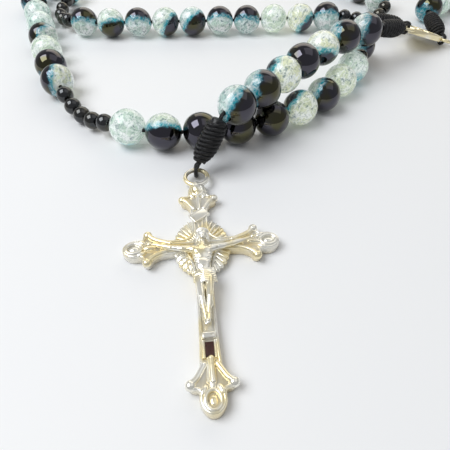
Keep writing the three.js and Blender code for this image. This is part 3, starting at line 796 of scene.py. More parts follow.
@dataclass(frozen=True)
class Sizes:
    """The rosary's driving sizes, in metres."""

    bead: float = 8 * MM
    bead_bore: float = 1.5 * MM
    bead_gap: float = 0.12 * MM
    loose_gap: float = 0.5 * MM
    hairpin_gap: float = 1.2 * MM
    hairpin_beads: tuple = (8, 9)
    small: float = 4 * MM
    small_bore: float = 1.5 * MM
    small_gap: float = 0.1 * MM
    decade: int = 10
    group: int = 5
    pendant: int = 7
    cord: float = 0.9 * MM
    cord_clearance: float = 0.3 * MM
    knot_length: float = 9.2 * MM
    lead: float = 0.9 * MM
    strand_gap: float = 0.3 * MM
    tail_depth: float = 1.2 * MM
    hook_reach: float = 2.4 * MM
    hook_opening: float = math.radians(65)
    hook_steps: int = 12
    medal_wire: float = 0.8 * MM
    medal_hole: float = 2 * MM
    medal_width: float = 11 * MM
    medal_height: float = 13 * MM
    medal_bite: float = 0.5 * MM
    medal_table_gap: float = 0.3 * MM
    shoulder_side_share: float = 0.437
    shoulder_along_share: float = 0.92
    cross_wire: float = 0.9 * MM
    figure_gap: float = 0.3 * MM

    def radius(self, kind: Kind) -> float:
        """Returns a bead's radius."""
        return (self.bead if kind is Kind.LARGE else self.small) / 2

    def bore(self, kind: Kind) -> float:
        """Returns a bead's bore."""
        return self.bead_bore if kind is Kind.LARGE else self.small_bore

    def half(self, kind: Kind) -> float:
        """Returns half the length of a bead's bore."""
        return math.sqrt(self.radius(kind) ** 2 - (self.bore(kind) / 2) ** 2)


@dataclass(frozen=True)
class Route:
    """The cord's route, as shares of a large bead, with the directions of the knots."""

    front: tuple = (
        (4.72, 15.15), (4.67, 14.56), (4.53, 13.9), (4.07, 13.2), (3.51, 12.23), (2.86, 11.48),
        (2.14, 10.87), (1.32, 10.34), (0.39, 9.99), (-0.6, 9.76), (-1.59, 9.73), (-2.58, 9.86),
        (-3.32, 10.24), (-3.82, 10.56), (-4.22, 10.94), (-4.58, 11.34), (-4.88, 11.8),
    )
    left: tuple = (
        (-5.2, 12.32), (-5.62, 13.24), (-6.02, 14.22), (-6.39, 15.13), (-6.72, 16.08),
        (-7.16, 17.14), (-7.6, 18.3), (-8.02, 19), (-8.22, 19.65), (-8, 20.35), (-7.32, 20.65),
        (-6.64, 20.35),
    )
    back: tuple = (
        (-6.4, 19.65), (-6.44, 19), (-6.6, 18.4), (-6.6, 18.22), (-6.5, 17.72), (-6.25, 17.26),
        (-5.88, 16.84), (-5.25, 16.52), (-4.24, 16.53), (-3.25, 16.6), (-2.24, 16.62),
        (-1.2, 16.68), (-0.2, 16.72), (0.82, 16.82), (1.84, 16.9), (2.86, 16.98), (3.88, 17.08),
    )
    turn: tuple = (
        (4.65, 17.3), (5.16, 17.38), (5.68, 17.48), (6.16, 17.72), (6.42, 18.15), (6.4, 18.7),
    )
    hidden: tuple = (
        (6.05, 19.6), (5.3, 20.4), (4.65, 21.3), (4.35, 22.3), (4.6, 23.4), (5.3, 24.3),
        (6.3, 24.9), (7.4, 25.15), (8.5, 24.95), (9.5, 24.3), (10.3, 23.4), (10.75, 22.3),
        (10.8, 21.1),
        (10.45, 20), (9.7, 19.1), (8.8, 18.6),
    )
    hidden_pivot: tuple = (7.6, 18.45)
    reaches: tuple = (0.6, 1.6)
    home: tuple = (8.1, 18.35)
    home_run: float = 8 * MM
    small_rise: tuple = (0.35, 0.257, 0.257, 0.35)
    pendant: tuple = (
        (4.9, 14.18, 1.34), (4.48, 13.93, 1.46), (3.72, 13.27, 1.47), (3.06, 12.84, 1.42),
        (2.35, 12, 1.4), (1.63, 11.14, 1.42), (0.9, 10.12, 1.47), (0.17, 9.45, 1.46),
        (-0.06, 9.14, 1.46),
    )
    slack: tuple = ((5.25, 16.7, 0.5), (4.98, 16.4, 0.4), (4.84, 15.95, 0.36), (4.76, 15.5, 0.42))
    medal_knot: tuple = (0.83, 0.5, -0.24)
    medal: tuple = (0.74, 0.67)
    front_knot: tuple = (-0.1, 0.97, 0.21)
    back_knot: tuple = (-0.98, -0.04, 0.2)
    crucifix_knot: tuple = (-0.72, -0.69)
    samples: int = 9000
    rounds: int = 30


def unit(vector: Sequence[float]) -> np.ndarray:
    """Returns a direction of length 1."""
    array = np.array(vector, float)
    return array / np.linalg.norm(array)


def catmull_rom(points: np.ndarray, samples: int) -> np.ndarray:
    """Samples a centripetal Catmull-Rom curve through points.

    Args:
        points: The points.
        samples: How many spans the samples make.

    Returns:
        The samples.
    """
    padded = np.vstack([2 * points[0] - points[1], points, 2 * points[-1] - points[-2]])
    spans = len(points) - 1
    t = np.linspace(0.0, spans, samples + 1)
    index = np.minimum(t.astype(int), spans - 1)
    share = (t - index)[:, None]
    p0, p1, p2, p3 = (padded[index + k] for k in range(4))
    d0, d1, d2 = (
        np.maximum(np.linalg.norm(b - a, axis=1)[:, None] ** 0.5, 1e-9)
        for a, b in ((p0, p1), (p1, p2), (p2, p3))
    )
    m1 = ((p1 - p0) / d0 - (p2 - p0) / (d0 + d1) + (p2 - p1) / d1) * d1
    m2 = ((p2 - p1) / d1 - (p3 - p1) / (d1 + d2) + (p3 - p2) / d2) * d1
    cubic = 2 * p1 - 2 * p2 + m1 + m2
    square = 3 * p2 - 3 * p1 - 2 * m1 - m2
    return p1 + share * (m1 + share * (square + share * cubic))


@dataclass
class Bead:
    """One bead on the cord."""

    kind: Kind
    centre: np.ndarray
    axis: np.ndarray


class Stringing:
    """Strings the beads on the cord as the part's source does."""

    def __init__(self, sizes: Sizes, route: Route) -> None:
        """Strings the pendant, then the loop, and finds the knots.

        Args:
            sizes: The driving sizes.
            route: The routes and directions.
        """
        self.sizes = sizes
        self.route = route
        s = sizes
        pendant = catmull_rom(np.array(route.pendant) * s.bead, route.samples)
        kinds = [Kind.LARGE] * s.pendant
        corners, slides, _ = self.corners_along(pendant, kinds, [s.bead_gap] * s.pendant)
        self.pendant_corners = corners
        self.pendant_beads = self.beads_between(corners, slides, kinds)
        self.find_pendant_knots()
        self.find_medal()
        self.string_loop()

    def corners_along(self, samples: np.ndarray, kinds: list[Kind], gaps: list[float]) -> tuple:
        """Finds the cord's corners along a row of samples, one stretch for each bead.

        Args:
            samples: The route.
            kinds: The beads' kinds.
            gaps: The gap that goes with each bead.

        Returns:
            The corners, where each bead slides to on its stretch, and the last sample used.
        """
        radius = self.sizes.radius
        corners, slides, i, before = [samples[0].copy()], [], 0, None
        for n, kind in enumerate(kinds):
            start = corners[-1]
            shortest = 2 * radius(kind) + gaps[n]
            clear = radius(kinds[n - 1]) + radius(kind) + min(gaps[n - 1], gaps[n]) if n else 0.0
            ahead = samples[i:]
            away = np.linalg.norm(ahead - start, axis=1)
            slide = 1 - shortest / 2 / np.maximum(away, 1e-12)
            fits = away >= shortest
            if before is not None:
                centres = start + (ahead - start) * slide[:, None]
                fits &= np.linalg.norm(centres - before, axis=1) >= clear
            step = int(np.argmax(fits)) if fits.any() else len(ahead) - 1
            i += step
            corners.append(samples[i].copy())
            slides.append(float(slide[step]))
            before = start + (samples[i] - start) * slide[step]
        return corners, slides, i

    def beads_between(self, corners: list, slides: list[float], kinds: list[Kind]) -> list[Bead]:
        """Returns the bead of each stretch between two corners."""
        pairs = zip(kinds, corners, corners[1:], slides)
        return [Bead(kind, a + (b - a) * slide, unit(b - a)) for kind, a, b, slide in pairs]

    def find_pendant_knots(self) -> None:
        """Finds the knot at the medal and the knot at the crucifix."""
        s, r = self.sizes, self.route
        heading = unit(r.medal_knot)
        self.medal_knot = [self.pendant_corners[0] + heading * s.lead]
        self.medal_knot.append(self.medal_knot[0] + heading * s.knot_length)
        self.medal_eye = self.medal_knot[1] + heading * s.hook_reach
        low = self.pendant_corners[-1]
        wire_height = s.cord + s.cord_clearance + s.cross_wire / 2 + s.figure_gap / 2
        fall = (low[2] - wire_height) / (s.lead + s.knot_length + s.hook_reach)
        flat = unit(r.crucifix_knot) * math.sqrt(1 - fall**2)
        heading = np.array([flat[0], flat[1], -fall])
        self.crucifix_knot = [low + heading * s.lead]
        self.crucifix_knot.append(self.crucifix_knot[0] + heading * s.knot_length)
        self.crucifix_wire = self.crucifix_knot[1] + heading * s.hook_reach

    def find_medal(self) -> None:
        """Finds the medal's frame, its eyes and the knots that end the loop."""
        s, r = self.sizes, self.route
        self.eye_radius = (s.medal_hole + s.medal_wire) / 2
        outer = self.eye_radius + s.medal_wire / 2
        self.plate_from = self.eye_radius + outer - s.medal_bite
        diagonal = (outer - s.medal_bite) * math.sqrt(0.5)
        self.shoulder_side = s.medal_width * s.shoulder_side_share + diagonal
        self.shoulder_along = self.plate_from + s.medal_height * s.shoulder_along_share + diagonal
        low = s.medal_wire / 2 + s.cord + s.cord_clearance + s.medal_table_gap
        fall = (self.medal_eye[2] - low) / self.shoulder_along
        flat = unit(r.medal)
        level = flat * math.sqrt(1 - fall**2)
        up = np.array([level[0], level[1], -fall])
        side = np.array([flat[1], -flat[0], 0.0])
        face = unit(np.cross(side, up))
        self.medal_axes = np.stack([side, up, face], axis=1)
        self.ends = {
            "front_end": self.end_knot(self.shoulder_side, unit(r.front_knot)),
            "back_end": self.end_knot(-self.shoulder_side, unit(r.back_knot)),
        }

    def on_medal(self, x: float, y: float, z: float = 0.0) -> np.ndarray:
        """Returns a place on the medal in the calibration frame."""
        return self.medal_eye + self.medal_axes @ np.array([x, y, z])

    def hook(self, centre: np.ndarray, toward: np.ndarray) -> tuple[np.ndarray, np.ndarray]:
        """Finds the point of an eye's wire nearest to a knot, and the wire's direction there.

        Args:
            centre: The eye's centre.
            toward: The knot's place.

        Returns:
            The point and the direction.
        """
        normal = self.medal_axes[:, 2]
        out = toward - centre
        out = unit(out - normal * out.dot(normal))
        return centre + out * self.eye_radius, unit(np.cross(normal, out))

    def end_knot(self, side: float, heading: np.ndarray) -> dict:
        """Places a knot of the loop at one of the upper eyes.

        Args:
            side: The eye's place across the medal.
            heading: The way from the eye to the beads.

        Returns:
            The wire's point and direction, and the knot's two ends.
        """
        eye = self.on_medal(side, self.shoulder_along)
        wire, tangent = self.hook(eye, eye + heading * MM)
        end = wire + heading * self.sizes.hook_reach
        start = end + heading * self.sizes.knot_length
        return {"wire": wire, "tangent": tangent, "end": end, "start": start}

    def string_loop(self) -> None:
        """Strings the loop. Its unseen turn is widened or narrowed until the beads just fill it."""
        s, r = self.sizes, self.route
        large, small = Kind.LARGE, Kind.SMALL
        decade, group = [large] * s.decade, [small] * s.group
        self.loop_kinds = [large, small, *decade[1:], *(group + decade) * 4]
        left_from = 1 + s.decade + s.group
        gaps = []
        for n, kind in enumerate(self.loop_kinds):
            number = n - left_from + 1
            if kind is small:
                gaps.append(s.small_gap)
            elif 1 <= number <= s.decade:
                gaps.append(s.hairpin_gap if number in s.hairpin_beads else s.loose_gap)
            else:
                gaps.append(s.bead_gap)
        heading = unit(r.front_knot)
        last_corner = self.ends["front_end"]["start"] + heading * s.lead
        closing = np.array([last_corner + heading * r.home_run, last_corner])[:, :2]
        pivot = np.array(r.hidden_pivot)
        low, high = r.reaches

        def strung(reach: float) -> tuple:
            """Strings the loop with one width of its unseen turn.

            Args:
                reach: The width, as a share.

            Returns:
                The corners, the slides, the last sample used and the last one.
            """
            hidden = (np.array(r.hidden) - pivot) * reach + pivot
            shares = np.vstack([r.front, r.left, r.back, r.turn, hidden, r.home])
            points = np.vstack([shares * s.bead, closing])
            samples = catmull_rom(np.hstack([points, np.zeros((len(points), 1))]), r.samples)
            return (*self.corners_along(samples, self.loop_kinds, gaps), len(samples) - 1)

        for _ in range(r.rounds):
            middle = (low + high) / 2
            _, _, used, last = strung(middle)
            if used >= last:
                low = middle
            else:
                high = middle
        corners, slides, _, _ = strung(high)
        place = 0
        for n, corner in enumerate(corners):
            inside = 0 < n < len(self.loop_kinds)
            between = inside and self.loop_kinds[n - 1] is self.loop_kinds[n] is small
            place = place + 1 if between else 0
            corner[2] = r.small_rise[place - 1] * s.bead if between else s.bead / 2
        corners[-1] = last_corner
        self.loop_corners = corners
        self.loop_beads = self.beads_between(corners, slides, self.loop_kinds)
        log.info("loop strung at reach %.4f", high)

    def hooked(
        self,
        start: np.ndarray,
        end: np.ndarray,
        wire: np.ndarray,
        tangent: np.ndarray,
        wire_radius: float,
    ) -> list[np.ndarray]:
        """Returns the cord's way out of a knot, round an eye's wire and back into the knot.

        Args:
            start: The knot's end at the beads.
            end: The knot's end at the eye.
            wire: The point of the eye's wire that the cord goes round.
            tangent: The wire's direction there.
            wire_radius: The wire's radius.

        Returns:
            The points, from inside the knot and back into it.
        """
        s = self.sizes
        back = end - wire
        back = unit(back - tangent * back.dot(tangent))
        side = unit(np.cross(back, tangent))
        around = wire_radius + s.cord / 2 + s.cord_clearance
        offset = s.cord / 2 + s.strand_gap / 2
        inward = unit(start - end)
        points = [end + side * offset + inward * s.tail_depth, end + side * offset]
        turn = 2 * (math.pi - s.hook_opening)
        for i in range(s.hook_steps + 1):
            angle = s.hook_opening + turn * i / s.hook_steps
            points.append(wire + back * around * math.cos(angle) + side * around * math.sin(angle))
        tail = end - side * offset
        return [*points, tail, tail + inward * s.tail_depth]


@dataclass(frozen=True)
class Tone:
    """How one bead's plating lies in the picture, how much there is, and how warm the glass is."""

    right: float = 0.0
    up: float = 0.0
    amount: float = 0.0
    warmth: float = 0.3


class Camera:
    """The photograph's camera, fitted to the beads and the crucifix."""

    height: float = 60.45 * MM
    pitch: float = math.radians(48)
    focal_pixels: float = 436.0
    picture_pixels: float = 450.0
    sensor: float = 36.0

    def __init__(self, offset: np.ndarray) -> None:
        """Sets up the camera over the frame's calibration point.

        Args:
            offset: The calibration point.
        """
        data = bpy.data.cameras.new("camera")
        data.sensor_width = self.sensor
        data.lens = self.sensor * self.focal_pixels / self.picture_pixels
        data.clip_start = MM
        camera = bpy.data.objects.new("camera", data)
        camera.location = (offset[0], offset[1], self.height)
        camera.rotation_euler = (math.pi / 2 - self.pitch, 0.0, 0.0)
        bpy.context.scene.collection.objects.link(camera)
        bpy.context.scene.camera = camera
        sine, cosine = math.sin(self.pitch), math.cos(self.pitch)
        self.right = np.array([1.0, 0.0, 0.0])
        self.up = np.array([0.0, sine, cosine])

    def direction(self, tone: Tone) -> np.ndarray:
        """Returns the direction in the frame of a tone's direction in the picture."""
        return self.right * tone.right + self.up * tone.up


# For each bead of a row, by its number: right, up, amount and warmth of its tone
TONES = {
    "front": (
        (0, -1, -1.3, 0.3), (0, -1, 0.15, 0.5), (0.2, 0, 1.1),
        (0.1, -0.2, 0.35), (0.3, -0.2, 0.95), (-0.8, 0.6, -0.5, 0.8),
        (0.9, -0.4, 0.45, 0.4), (0.1, 0.3, -1.2, 0.7), (0.2, -0.6, -0.8, 0.4),
        (0.6, 0.2, 0.12),
    ),
    "left": (
        (-1, 0, -0.05, 0.9), (0.2, 0.5, 0.7), (0, 0.4, -1.0, 0.5),
        (-0.9, 0.4, 0.15), (0, -0.6, -1.0, 0.2), (0.3, 0.3, -1.1, 0.2),
        (0.2, 0.6, 0.5), (0, 1, -0.2), (1, 0, 0.6), (0, -1, -0.8, 0.5),
    ),
    "back": (
        (0, 1, 0.25, 0.3), (0.3, -1, -0.35, 0.4), (0, 1, 0.15, 0.2),
        (0.9, -0.7, -0.55, 0.4), (0.7, -0.8, -0.15, 0.1), (0, 1, 0.05, 0.3),
        (0, 1, 0.3, 0.1), (0, 0.6, -0.95, 0.5), (0.8, -0.8, -0.75, 0.9),
        (0, 1, 0.12, 0.1),
    ),
    "pendant": (
        (0.85, -0.5, 0.12, 0.1), (1, -0.1, 0.35, 0.1), (-0.7, 0.4, -0.6, 0.9),
        (0.7, -0.1, 0.85, 0.4), (0.1, -1, -0.55, 0.9), (0.8, -0.1, 0.6, 0.3),
        (1, -0.15, 0.3, 0.2),
    ),
    "fourth": (
        (0.3, 0.6, 0.15), (0, -1, -0.4, 0.5), (0.5, 0.5, 0.8), (0, 0.2, -1, 0.3),
        (1, 0, 0.2), (0, 1, 0.1), (0, 0, -1.1, 0.8), (0.2, 0.2, 0.9),
        (0, -1, 0.1), (1, 0, -0.3),
    ),
    "fifth": (
        (0, 1, 0.2), (0, 0.3, -1, 0.6), (0.5, 0, 0.8), (0, -1, 0.0, 0.4),
        (1, 0.3, 0.4), (0, 0, -1.1, 0.2), (0, 1, 0.3), (0.2, 0.2, 0.9),
        (0, 0.3, -1.1, 0.3), (0.2, 0.4, 0.4),
    ),
}


@dataclass
class Beads:
    """Makes the beads: round, bored, with softened edges at the holes."""

    strung: Stringing
    palette: Palette
    camera: Camera
    offset: np.ndarray
    sides: int = 40
    small_sides: int = 28
    rings: int = 22
    lip: float = 0.14 * MM
    contrast: float = 1.15
    scatter: float = 40.0

    def section(self, radius: float, bore: float) -> list[tuple[float, float]]:
        """Draws the closed half section of a bored bead.

        Args:
            radius: Its radius.
            bore: Its bore.

        Returns:
            Distances from and along the bore.
        """
        start = math.asin((bore / 2 + self.lip) / radius)
        angles = [start + (math.pi - 2 * start) * i / self.rings for i in range(self.rings + 1)]
        outer = [(radius * math.sin(angle), -radius * math.cos(angle)) for angle in angles]
        end = outer[-1][1]
        soft = [(bore / 2 + self.lip * 0.3, end), (bore / 2, end - self.lip), (bore / 2, 0.0)]
        return [*outer, *soft, *[(x, -z) for x, z in reversed(soft[:2])]]

    def mesh(self, name: str, bead: Bead) -> Mesh:
        """Makes a bead's mesh at its place.

        Args:
            name: The mesh's name.
            bead: The bead.

        Returns:
            The mesh.
        """
        sizes = self.strung.sizes
        section = self.section(sizes.radius(bead.kind), sizes.bore(bead.kind))
        sides = self.small_sides if bead.kind is Kind.SMALL else self.sides
        turn = np.array(basis(Vector(bead.axis)))
        points = turned(section, sides) @ turn.T + bead.centre + self.offset
        return mesh_of(name, points, walls(len(section), sides, closes=True))

    def paint(self, piece: Object, bead: Bead, tone: Tone, seed: int) -> None:
        """Stores each point's place in the glass, its tone and its warmth on a large bead.

        Args:
            piece: The bead's piece.
            bead: Its place on the string.
            tone: How its plating lies.
            seed: What makes its cracks differ from the others'.
        """
        mesh = piece.data
        points = np.empty(len(mesh.vertices) * 3)
        mesh.vertices.foreach_get("co", points)
        radius = self.strung.sizes.radius(bead.kind)
        local = (points.reshape(-1, 3) - bead.centre - self.offset) / radius
        shift = np.random.default_rng(seed).uniform(-self.scatter, self.scatter, 3)
        place = mesh.attributes.new("bead_place", "FLOAT_VECTOR", "POINT")
        place.data.foreach_set("vector", (local + shift).ravel())
        value = local @ self.camera.direction(tone) * self.contrast + tone.amount
        mesh.attributes.new("bead_tone", "FLOAT", "POINT").data.foreach_set("value", value)
        warmth = np.full(len(local), tone.warmth)
        mesh.attributes.new("bead_warmth", "FLOAT", "POINT").data.foreach_set("value", warmth)

    def glass(self, name: str, bead: Bead, tone: Tone, seed: int, body: str, node: str) -> None:
        """Makes one large bead.

        Args:
            name: The piece's name.
            bead: Its place on the string.
            tone: How its plating lies.
            seed: What makes its cracks differ from the others'.
            body: The body it rides on.
            node: The CAD node it stands for.
        """
        piece = place_in_scene(name, self.mesh(name, bead), self.palette.glass)
        self.paint(piece, bead, tone, seed)
        fit(piece, body, "glass_beads", node)

    def black(self, name: str, bead: Bead, body: str, node: str) -> None:
        """Makes one small bead."""
        piece = place_in_scene(name, self.mesh(name, bead), self.palette.black)
        fit(piece, body, "black_beads", node)

    def build(self) -> None:
        """Makes all the beads, in the order in which they are strung."""
        sizes = self.strung.sizes
        loop = iter(self.strung.loop_beads)
        seed = 1
        first, spacer = next(loop), next(loop)
        front = [first, *islice(loop, sizes.decade - 1)]
        for number, bead in zip(range(sizes.decade, 0, -1), front):
            node = f"front_bead_{number}"
            self.glass("glass_" + node, bead, Tone(*TONES["front"][number - 1]), seed, node, node)
            seed += 1
        self.black("black_front_spacer_bead", spacer, "front_spacer_bead", "front_spacer_bead")
        for group, decade in enumerate(("left", "back", "fourth", "fifth"), 1):
            for number, bead in enumerate(islice(loop, sizes.group), 1):
                name = f"black_spacer_{group}_bead_{number}"
                self.black(name, bead, "loop_strand", f"spacer_beads_{group}")
            joined_up = decade in ("fourth", "fifth")
            for number, bead in enumerate(islice(loop, sizes.decade), 1):
                node = f"{decade}_decade_beads" if joined_up else f"{decade}_bead_{number}"
                body = "loop_strand" if joined_up else node
                name = f"glass_{decade}_bead_{number}"
                self.glass(name, bead, Tone(*TONES[decade][number - 1]), seed, body, node)
                seed += 1
            log.info("%s decade made", decade)
        for index, bead in enumerate(self.strung.pendant_beads):
            number = sizes.pendant - index
            node = f"pendant_bead_{number}"
            self.glass("glass_" + node, bead, Tone(*TONES["pendant"][number - 1]), seed, node, node)
            seed += 1
        log.info("pendant beads made, %d glass beads in all", seed - 1)


@dataclass
class Cords:
    """Makes the cords, the barrel knots and the loops round the eyes."""

    strung: Stringing
    palette: Palette
    sweep: Sweep
    offset: np.ndarray
    corner_reach: float = 1.6 * MM
    step: float = 0.28 * MM
    loop_corner_reach: float = 0.5 * MM
    loop_corner_steps: int = 4
    loop_step: float = 0.16 * MM
    knot_radius: float = 2.36 * MM
    knot_wire: float = 0.455 * MM
    knot_step: float = 0.22 * MM
    knot_twist: float = 2.6 * MM
    knot_turns: float = 10.0
    points_per_turn: int = 26
    knot_slant: float = 1.1 * MM
    knot_start: float = 0.78
    knot_fullness: float = 0.7
    knot_end: float = 0.55
    knot_end_from: float = 0.6
    knot_tail: float = 1.2 * MM
    core_radius: float = 1.6 * MM
    core_dome: float = 0.5 * MM
    core_inset: float = 0.15 * MM
    core_sides: int = 20
    core_steps: int = 7

    def cord(
        self,
        name: str,
        corners: Sequence[np.ndarray],
        body: str,
        node: str,
        knots: Sequence[Object],
    ) -> None:
        """Args:
            name: The piece's name.
            corners: The corners of its route.
            body: The body it rides on.
            node: The CAD node it stands for.
            knots: Not used.
        """
        placed = [corner + self.offset for corner in corners]
        route = spaced(rounded(placed, self.corner_reach), self.step)
        sizes = self.strung.sizes
        mesh = self.sweep.lay(name, route, self.palette.nylon, sizes.cord / 2, self.step)
        piece = place_in_scene(name, mesh, None)
        fit(piece, body, "cord", node)
        log.info("%s: %.3f m", name, length_of(route))

    def knot(self, name: str, start: np.ndarray, end: np.ndarray, body: str) -> Object:
        """Makes a barrel knot: touching turns of the cord round its own two strands.

        Args:
            name: The CAD nodes' common name.
            start: The knot's end at the beads.
            end: Its end at the eye.
            body: The body it rides on.

        Returns:
            The knot's piece.
        """
        sizes = self.strung.sizes
        half_wire = self.knot_wire
        share = np.linspace(0.0, 1.0, int(self.knot_turns * self.points_per_turn))
        angle = share * self.knot_turns * math.tau
        full = np.sin(np.pi * np.minimum(share, 0.5)) ** self.knot_fullness
        fall = np.clip((share - self.knot_end_from) / (1 - self.knot_end_from), 0.0, 1.0)
        swell = self.knot_start + (1 - self.knot_start) * full - self.knot_end * fall * fall
        radius = (self.knot_radius - half_wire) * swell
        room = sizes.knot_length + self.knot_tail - 2 * half_wire - self.knot_slant
        rise = half_wire + self.knot_slant / 2 + share * room + self.knot_slant / 2 * np.sin(angle)
        local = np.stack([radius * np.cos(angle), radius * np.sin(angle), rise], axis=1)
        turn = np.array(basis(Vector(end - start)))
        route = local @ turn.T + start + self.offset
        finish, twist = self.palette.nylon, self.knot_twist
        winding = self.sweep.lay(name, route, finish, half_wire, self.knot_step, twist_length=twist)
        core = self.core(name, start, turn)
        core.materials.append(self.palette.nylon)
        piece = place_in_scene(name, joined(name, [winding, core]), self.palette.nylon)
        fit(piece, body, "cord", f"{name}_core", f"{name}_winding")
        log.info("%s made", name)
        return piece

    def core(self, name: str, start: np.ndarray, turn: np.ndarray) -> Mesh:
        """Makes the knot's inside: a rounded plug of cord that shows at both ends.

        Args:
            name: The mesh's name.
            start: The knot's end at the beads.
            turn: The turn that takes Z to the knot's direction.

        Returns:
            The mesh.
        """
        length, sides = self.strung.sizes.knot_length, self.core_sides
        rows = []
        for i in range(self.core_steps + 1):
            angle = math.pi / 2 * i / self.core_steps
            rise = self.core_dome * (1 - math.cos(angle)) + self.core_inset
            rows.append((self.core_radius * math.sin(angle), rise))
        rows += [(x, length - z) for x, z in reversed(rows)]
        first, last = ([[0.0, 0.0, row[1]]] for row in (rows[0], rows[-1]))
        local = np.concatenate([first, turned(rows[1:-1], sides), last])
        tip, high = len(local) - 1, len(local) - 1 - sides
        faces = [(0, 1 + (j + 1) % sides, 1 + j) for j in range(sides)]
        faces += walls(len(rows) - 2, sides, 1)
        faces += [(tip, high + j, high + (j + 1) % sides) for j in range(sides)]
        return mesh_of(name, local @ turn.T + start + self.offset, faces)

    def eye_loop(self, name: str, points: Sequence[np.ndarray], body: str, node: str) -> None:
        """Makes the cord's loop round an eye, from inside the knot and back into it.

        Args:
            name: The piece's name.
            points: The corners of its route.
            body: The body it rides on.
            node: The CAD node it stands for.
        """
        placed = [point + self.offset for point in points]
        route = rounded(placed, self.loop_corner_reach, self.loop_corner_steps)
        route = spaced(route, self.loop_step)
        radius = self.strung.sizes.cord / 2
        mesh = self.sweep.lay(name, route, self.palette.nylon, radius, self.loop_step)
        fit(place_in_scene(name, mesh, None), body, "cord", node)

    def build(self) -> None:
        """Makes the two cords with their knots and loops."""
        strung, sizes = self.strung, self.strung.sizes
        loop_knots = []
        for name, end in strung.ends.items():
            ends = end["start"], end["end"]
            loop_knots.append(self.knot(f"{name}_knot", *ends, "loop_strand"))
            points = strung.hooked(*ends, end["wire"], end["tangent"], sizes.medal_wire / 2)
            self.eye_loop(f"{name}_loop", points, "loop_strand", "loop_cord")
        back = strung.ends["back_end"]
        lead = back["start"] + unit(strung.route.back_knot) * sizes.lead
        slack = [np.array(share) * sizes.bead for share in strung.route.slack]
        inside = unit(back["end"] - back["start"]) * sizes.tail_depth
        front = strung.ends["front_end"]
        front_inside = unit(front["end"] - front["start"]) * sizes.tail_depth
        corners = [back["start"] + inside, back["start"], lead, *slack, *strung.loop_corners]
        self.cord(
            "loop_cord_line", [*corners, front["start"], front["start"] + front_inside],
            "loop_strand", "loop_cord", loop_knots,
        )
        start, end = strung.medal_knot
        medal_knot = self.knot("medal_knot", start, end, "pendant_strand")
        wire, tangent = strung.hook(strung.on_medal(0, strung.eye_radius), end)
        points = strung.hooked(start, end, wire, tangent, sizes.medal_wire / 2)
        self.eye_loop("medal_loop", points, "pendant_strand", "pendant_cord")
        low_start, low_end = strung.crucifix_knot
        crucifix_knot = self.knot("crucifix_knot", low_start, low_end, "pendant_strand")
        tangent = np.array([math.cos(CRUCIFIX_TURN), math.sin(CRUCIFIX_TURN), 0.0])
        wire = strung.crucifix_wire
        points = strung.hooked(low_start, low_end, wire, tangent, sizes.cross_wire / 2)
        self.eye_loop("crucifix_loop", points, "pendant_strand", "pendant_cord")
        inside = unit(end - start) * sizes.tail_depth
        low_inside = unit(low_end - low_start) * sizes.tail_depth
        top = [start + inside, start]
        corners = [*top, *strung.pendant_corners, low_start, low_start + low_inside]
        knots = [medal_knot, crucifix_knot]
        self.cord("pendant_cord_line", corners, "pendant_strand", "pendant_cord", knots)


def joint(name: str) -> dict:
    """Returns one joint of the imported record."""
    return next(item for item in frame["joints"] if item["name"] == name)


CRUCIFIX_HINGE = joint("crucifix_hinge")
CRUCIFIX_AXIS = np.array(CRUCIFIX_HINGE["axis"]) * (1 if CRUCIFIX_HINGE["axis"][0] > 0 else -1)
CRUCIFIX_TURN = math.atan2(CRUCIFIX_AXIS[1], CRUCIFIX_AXIS[0])


def softened(points: np.ndarray, rounds: int = 3) -> np.ndarray:
    """Softens a closed outline by cutting its corners.

    Args:
        points: The outline.
        rounds: How often each corner is cut.

    Returns:
        The outline.
    """
    for _ in range(rounds):
        after = np.roll(points, -1, axis=0)
        pair = [points * 0.75 + after * 0.25, points * 0.25 + after * 0.75]
        points = np.stack(pair, axis=1).reshape(-1, 2)
    return points


def inset(outline: np.ndarray, depth: float) -> np.ndarray:
    """Moves a counter-clockwise outline inward.

    Args:
        outline: The outline.
        depth: How far.

    Returns:
        The outline.
    """
    along = np.roll(outline, -1, axis=0) - np.roll(outline, 1, axis=0)
    along /= np.linalg.norm(along, axis=1)[:, None]
    return outline + np.stack([-along[:, 1], along[:, 0]], axis=1) * depth


def plate(name: str, outline: np.ndarray, levels: Sequence[tuple[float, float]]) -> Mesh:
    """Returns a closed plate whose edge follows a profile.

    Args:
        name: The mesh's name.
        outline: Its outline, counter-clockwise.
        levels: How far in the edge is at each height, from the bottom up.

    Returns:
        The mesh.
    """
    count = len(outline)
    rings = [np.hstack([inset(outline, depth), np.full((count, 1), z)]) for depth, z in levels]
    bottom, top = range(count - 1, -1, -1), range((len(rings) - 1) * count, len(rings) * count)
    faces = [tuple(bottom), tuple(top), *walls(len(rings), count)]
    return mesh_of(name, np.concatenate(rings), faces)


def ring(
    name: str,
    centre: Sequence[float],
    radii: tuple[float, float],
    wire: float,
    turn: float = 0.0,
) -> Mesh:
    """Returns a round or oval ring of wire in the XY plane.

    Args:
        name: The mesh's name.
        centre: Its centre.
        radii: The two half axes of the wire's middle.
        wire: The wire's radius.
        turn: How far the ring is turned.

    Returns:
        The mesh.
    """
    sides, steps = 14, 56
    around = np.arange(steps) * math.tau / steps
    section = np.arange(sides) * math.tau / sides
    middle = np.stack([radii[0] * np.cos(around), radii[1] * np.sin(around)], axis=1)
    out = np.stack([radii[1] * np.cos(around), radii[0] * np.sin(around)], axis=1)
    out /= np.linalg.norm(out, axis=1)[:, None]
    points = np.concatenate([
        np.hstack([middle + out * wire * math.cos(at), np.full((steps, 1), wire * math.sin(at))])
        for at in section
    ])
    sine, cosine = math.sin(turn), math.cos(turn)
    points[:, :2] = points[:, :2] @ np.array([[cosine, sine], [-sine, cosine]])
    return mesh_of(name, points + np.array(centre), walls(sides, steps, closes=True))


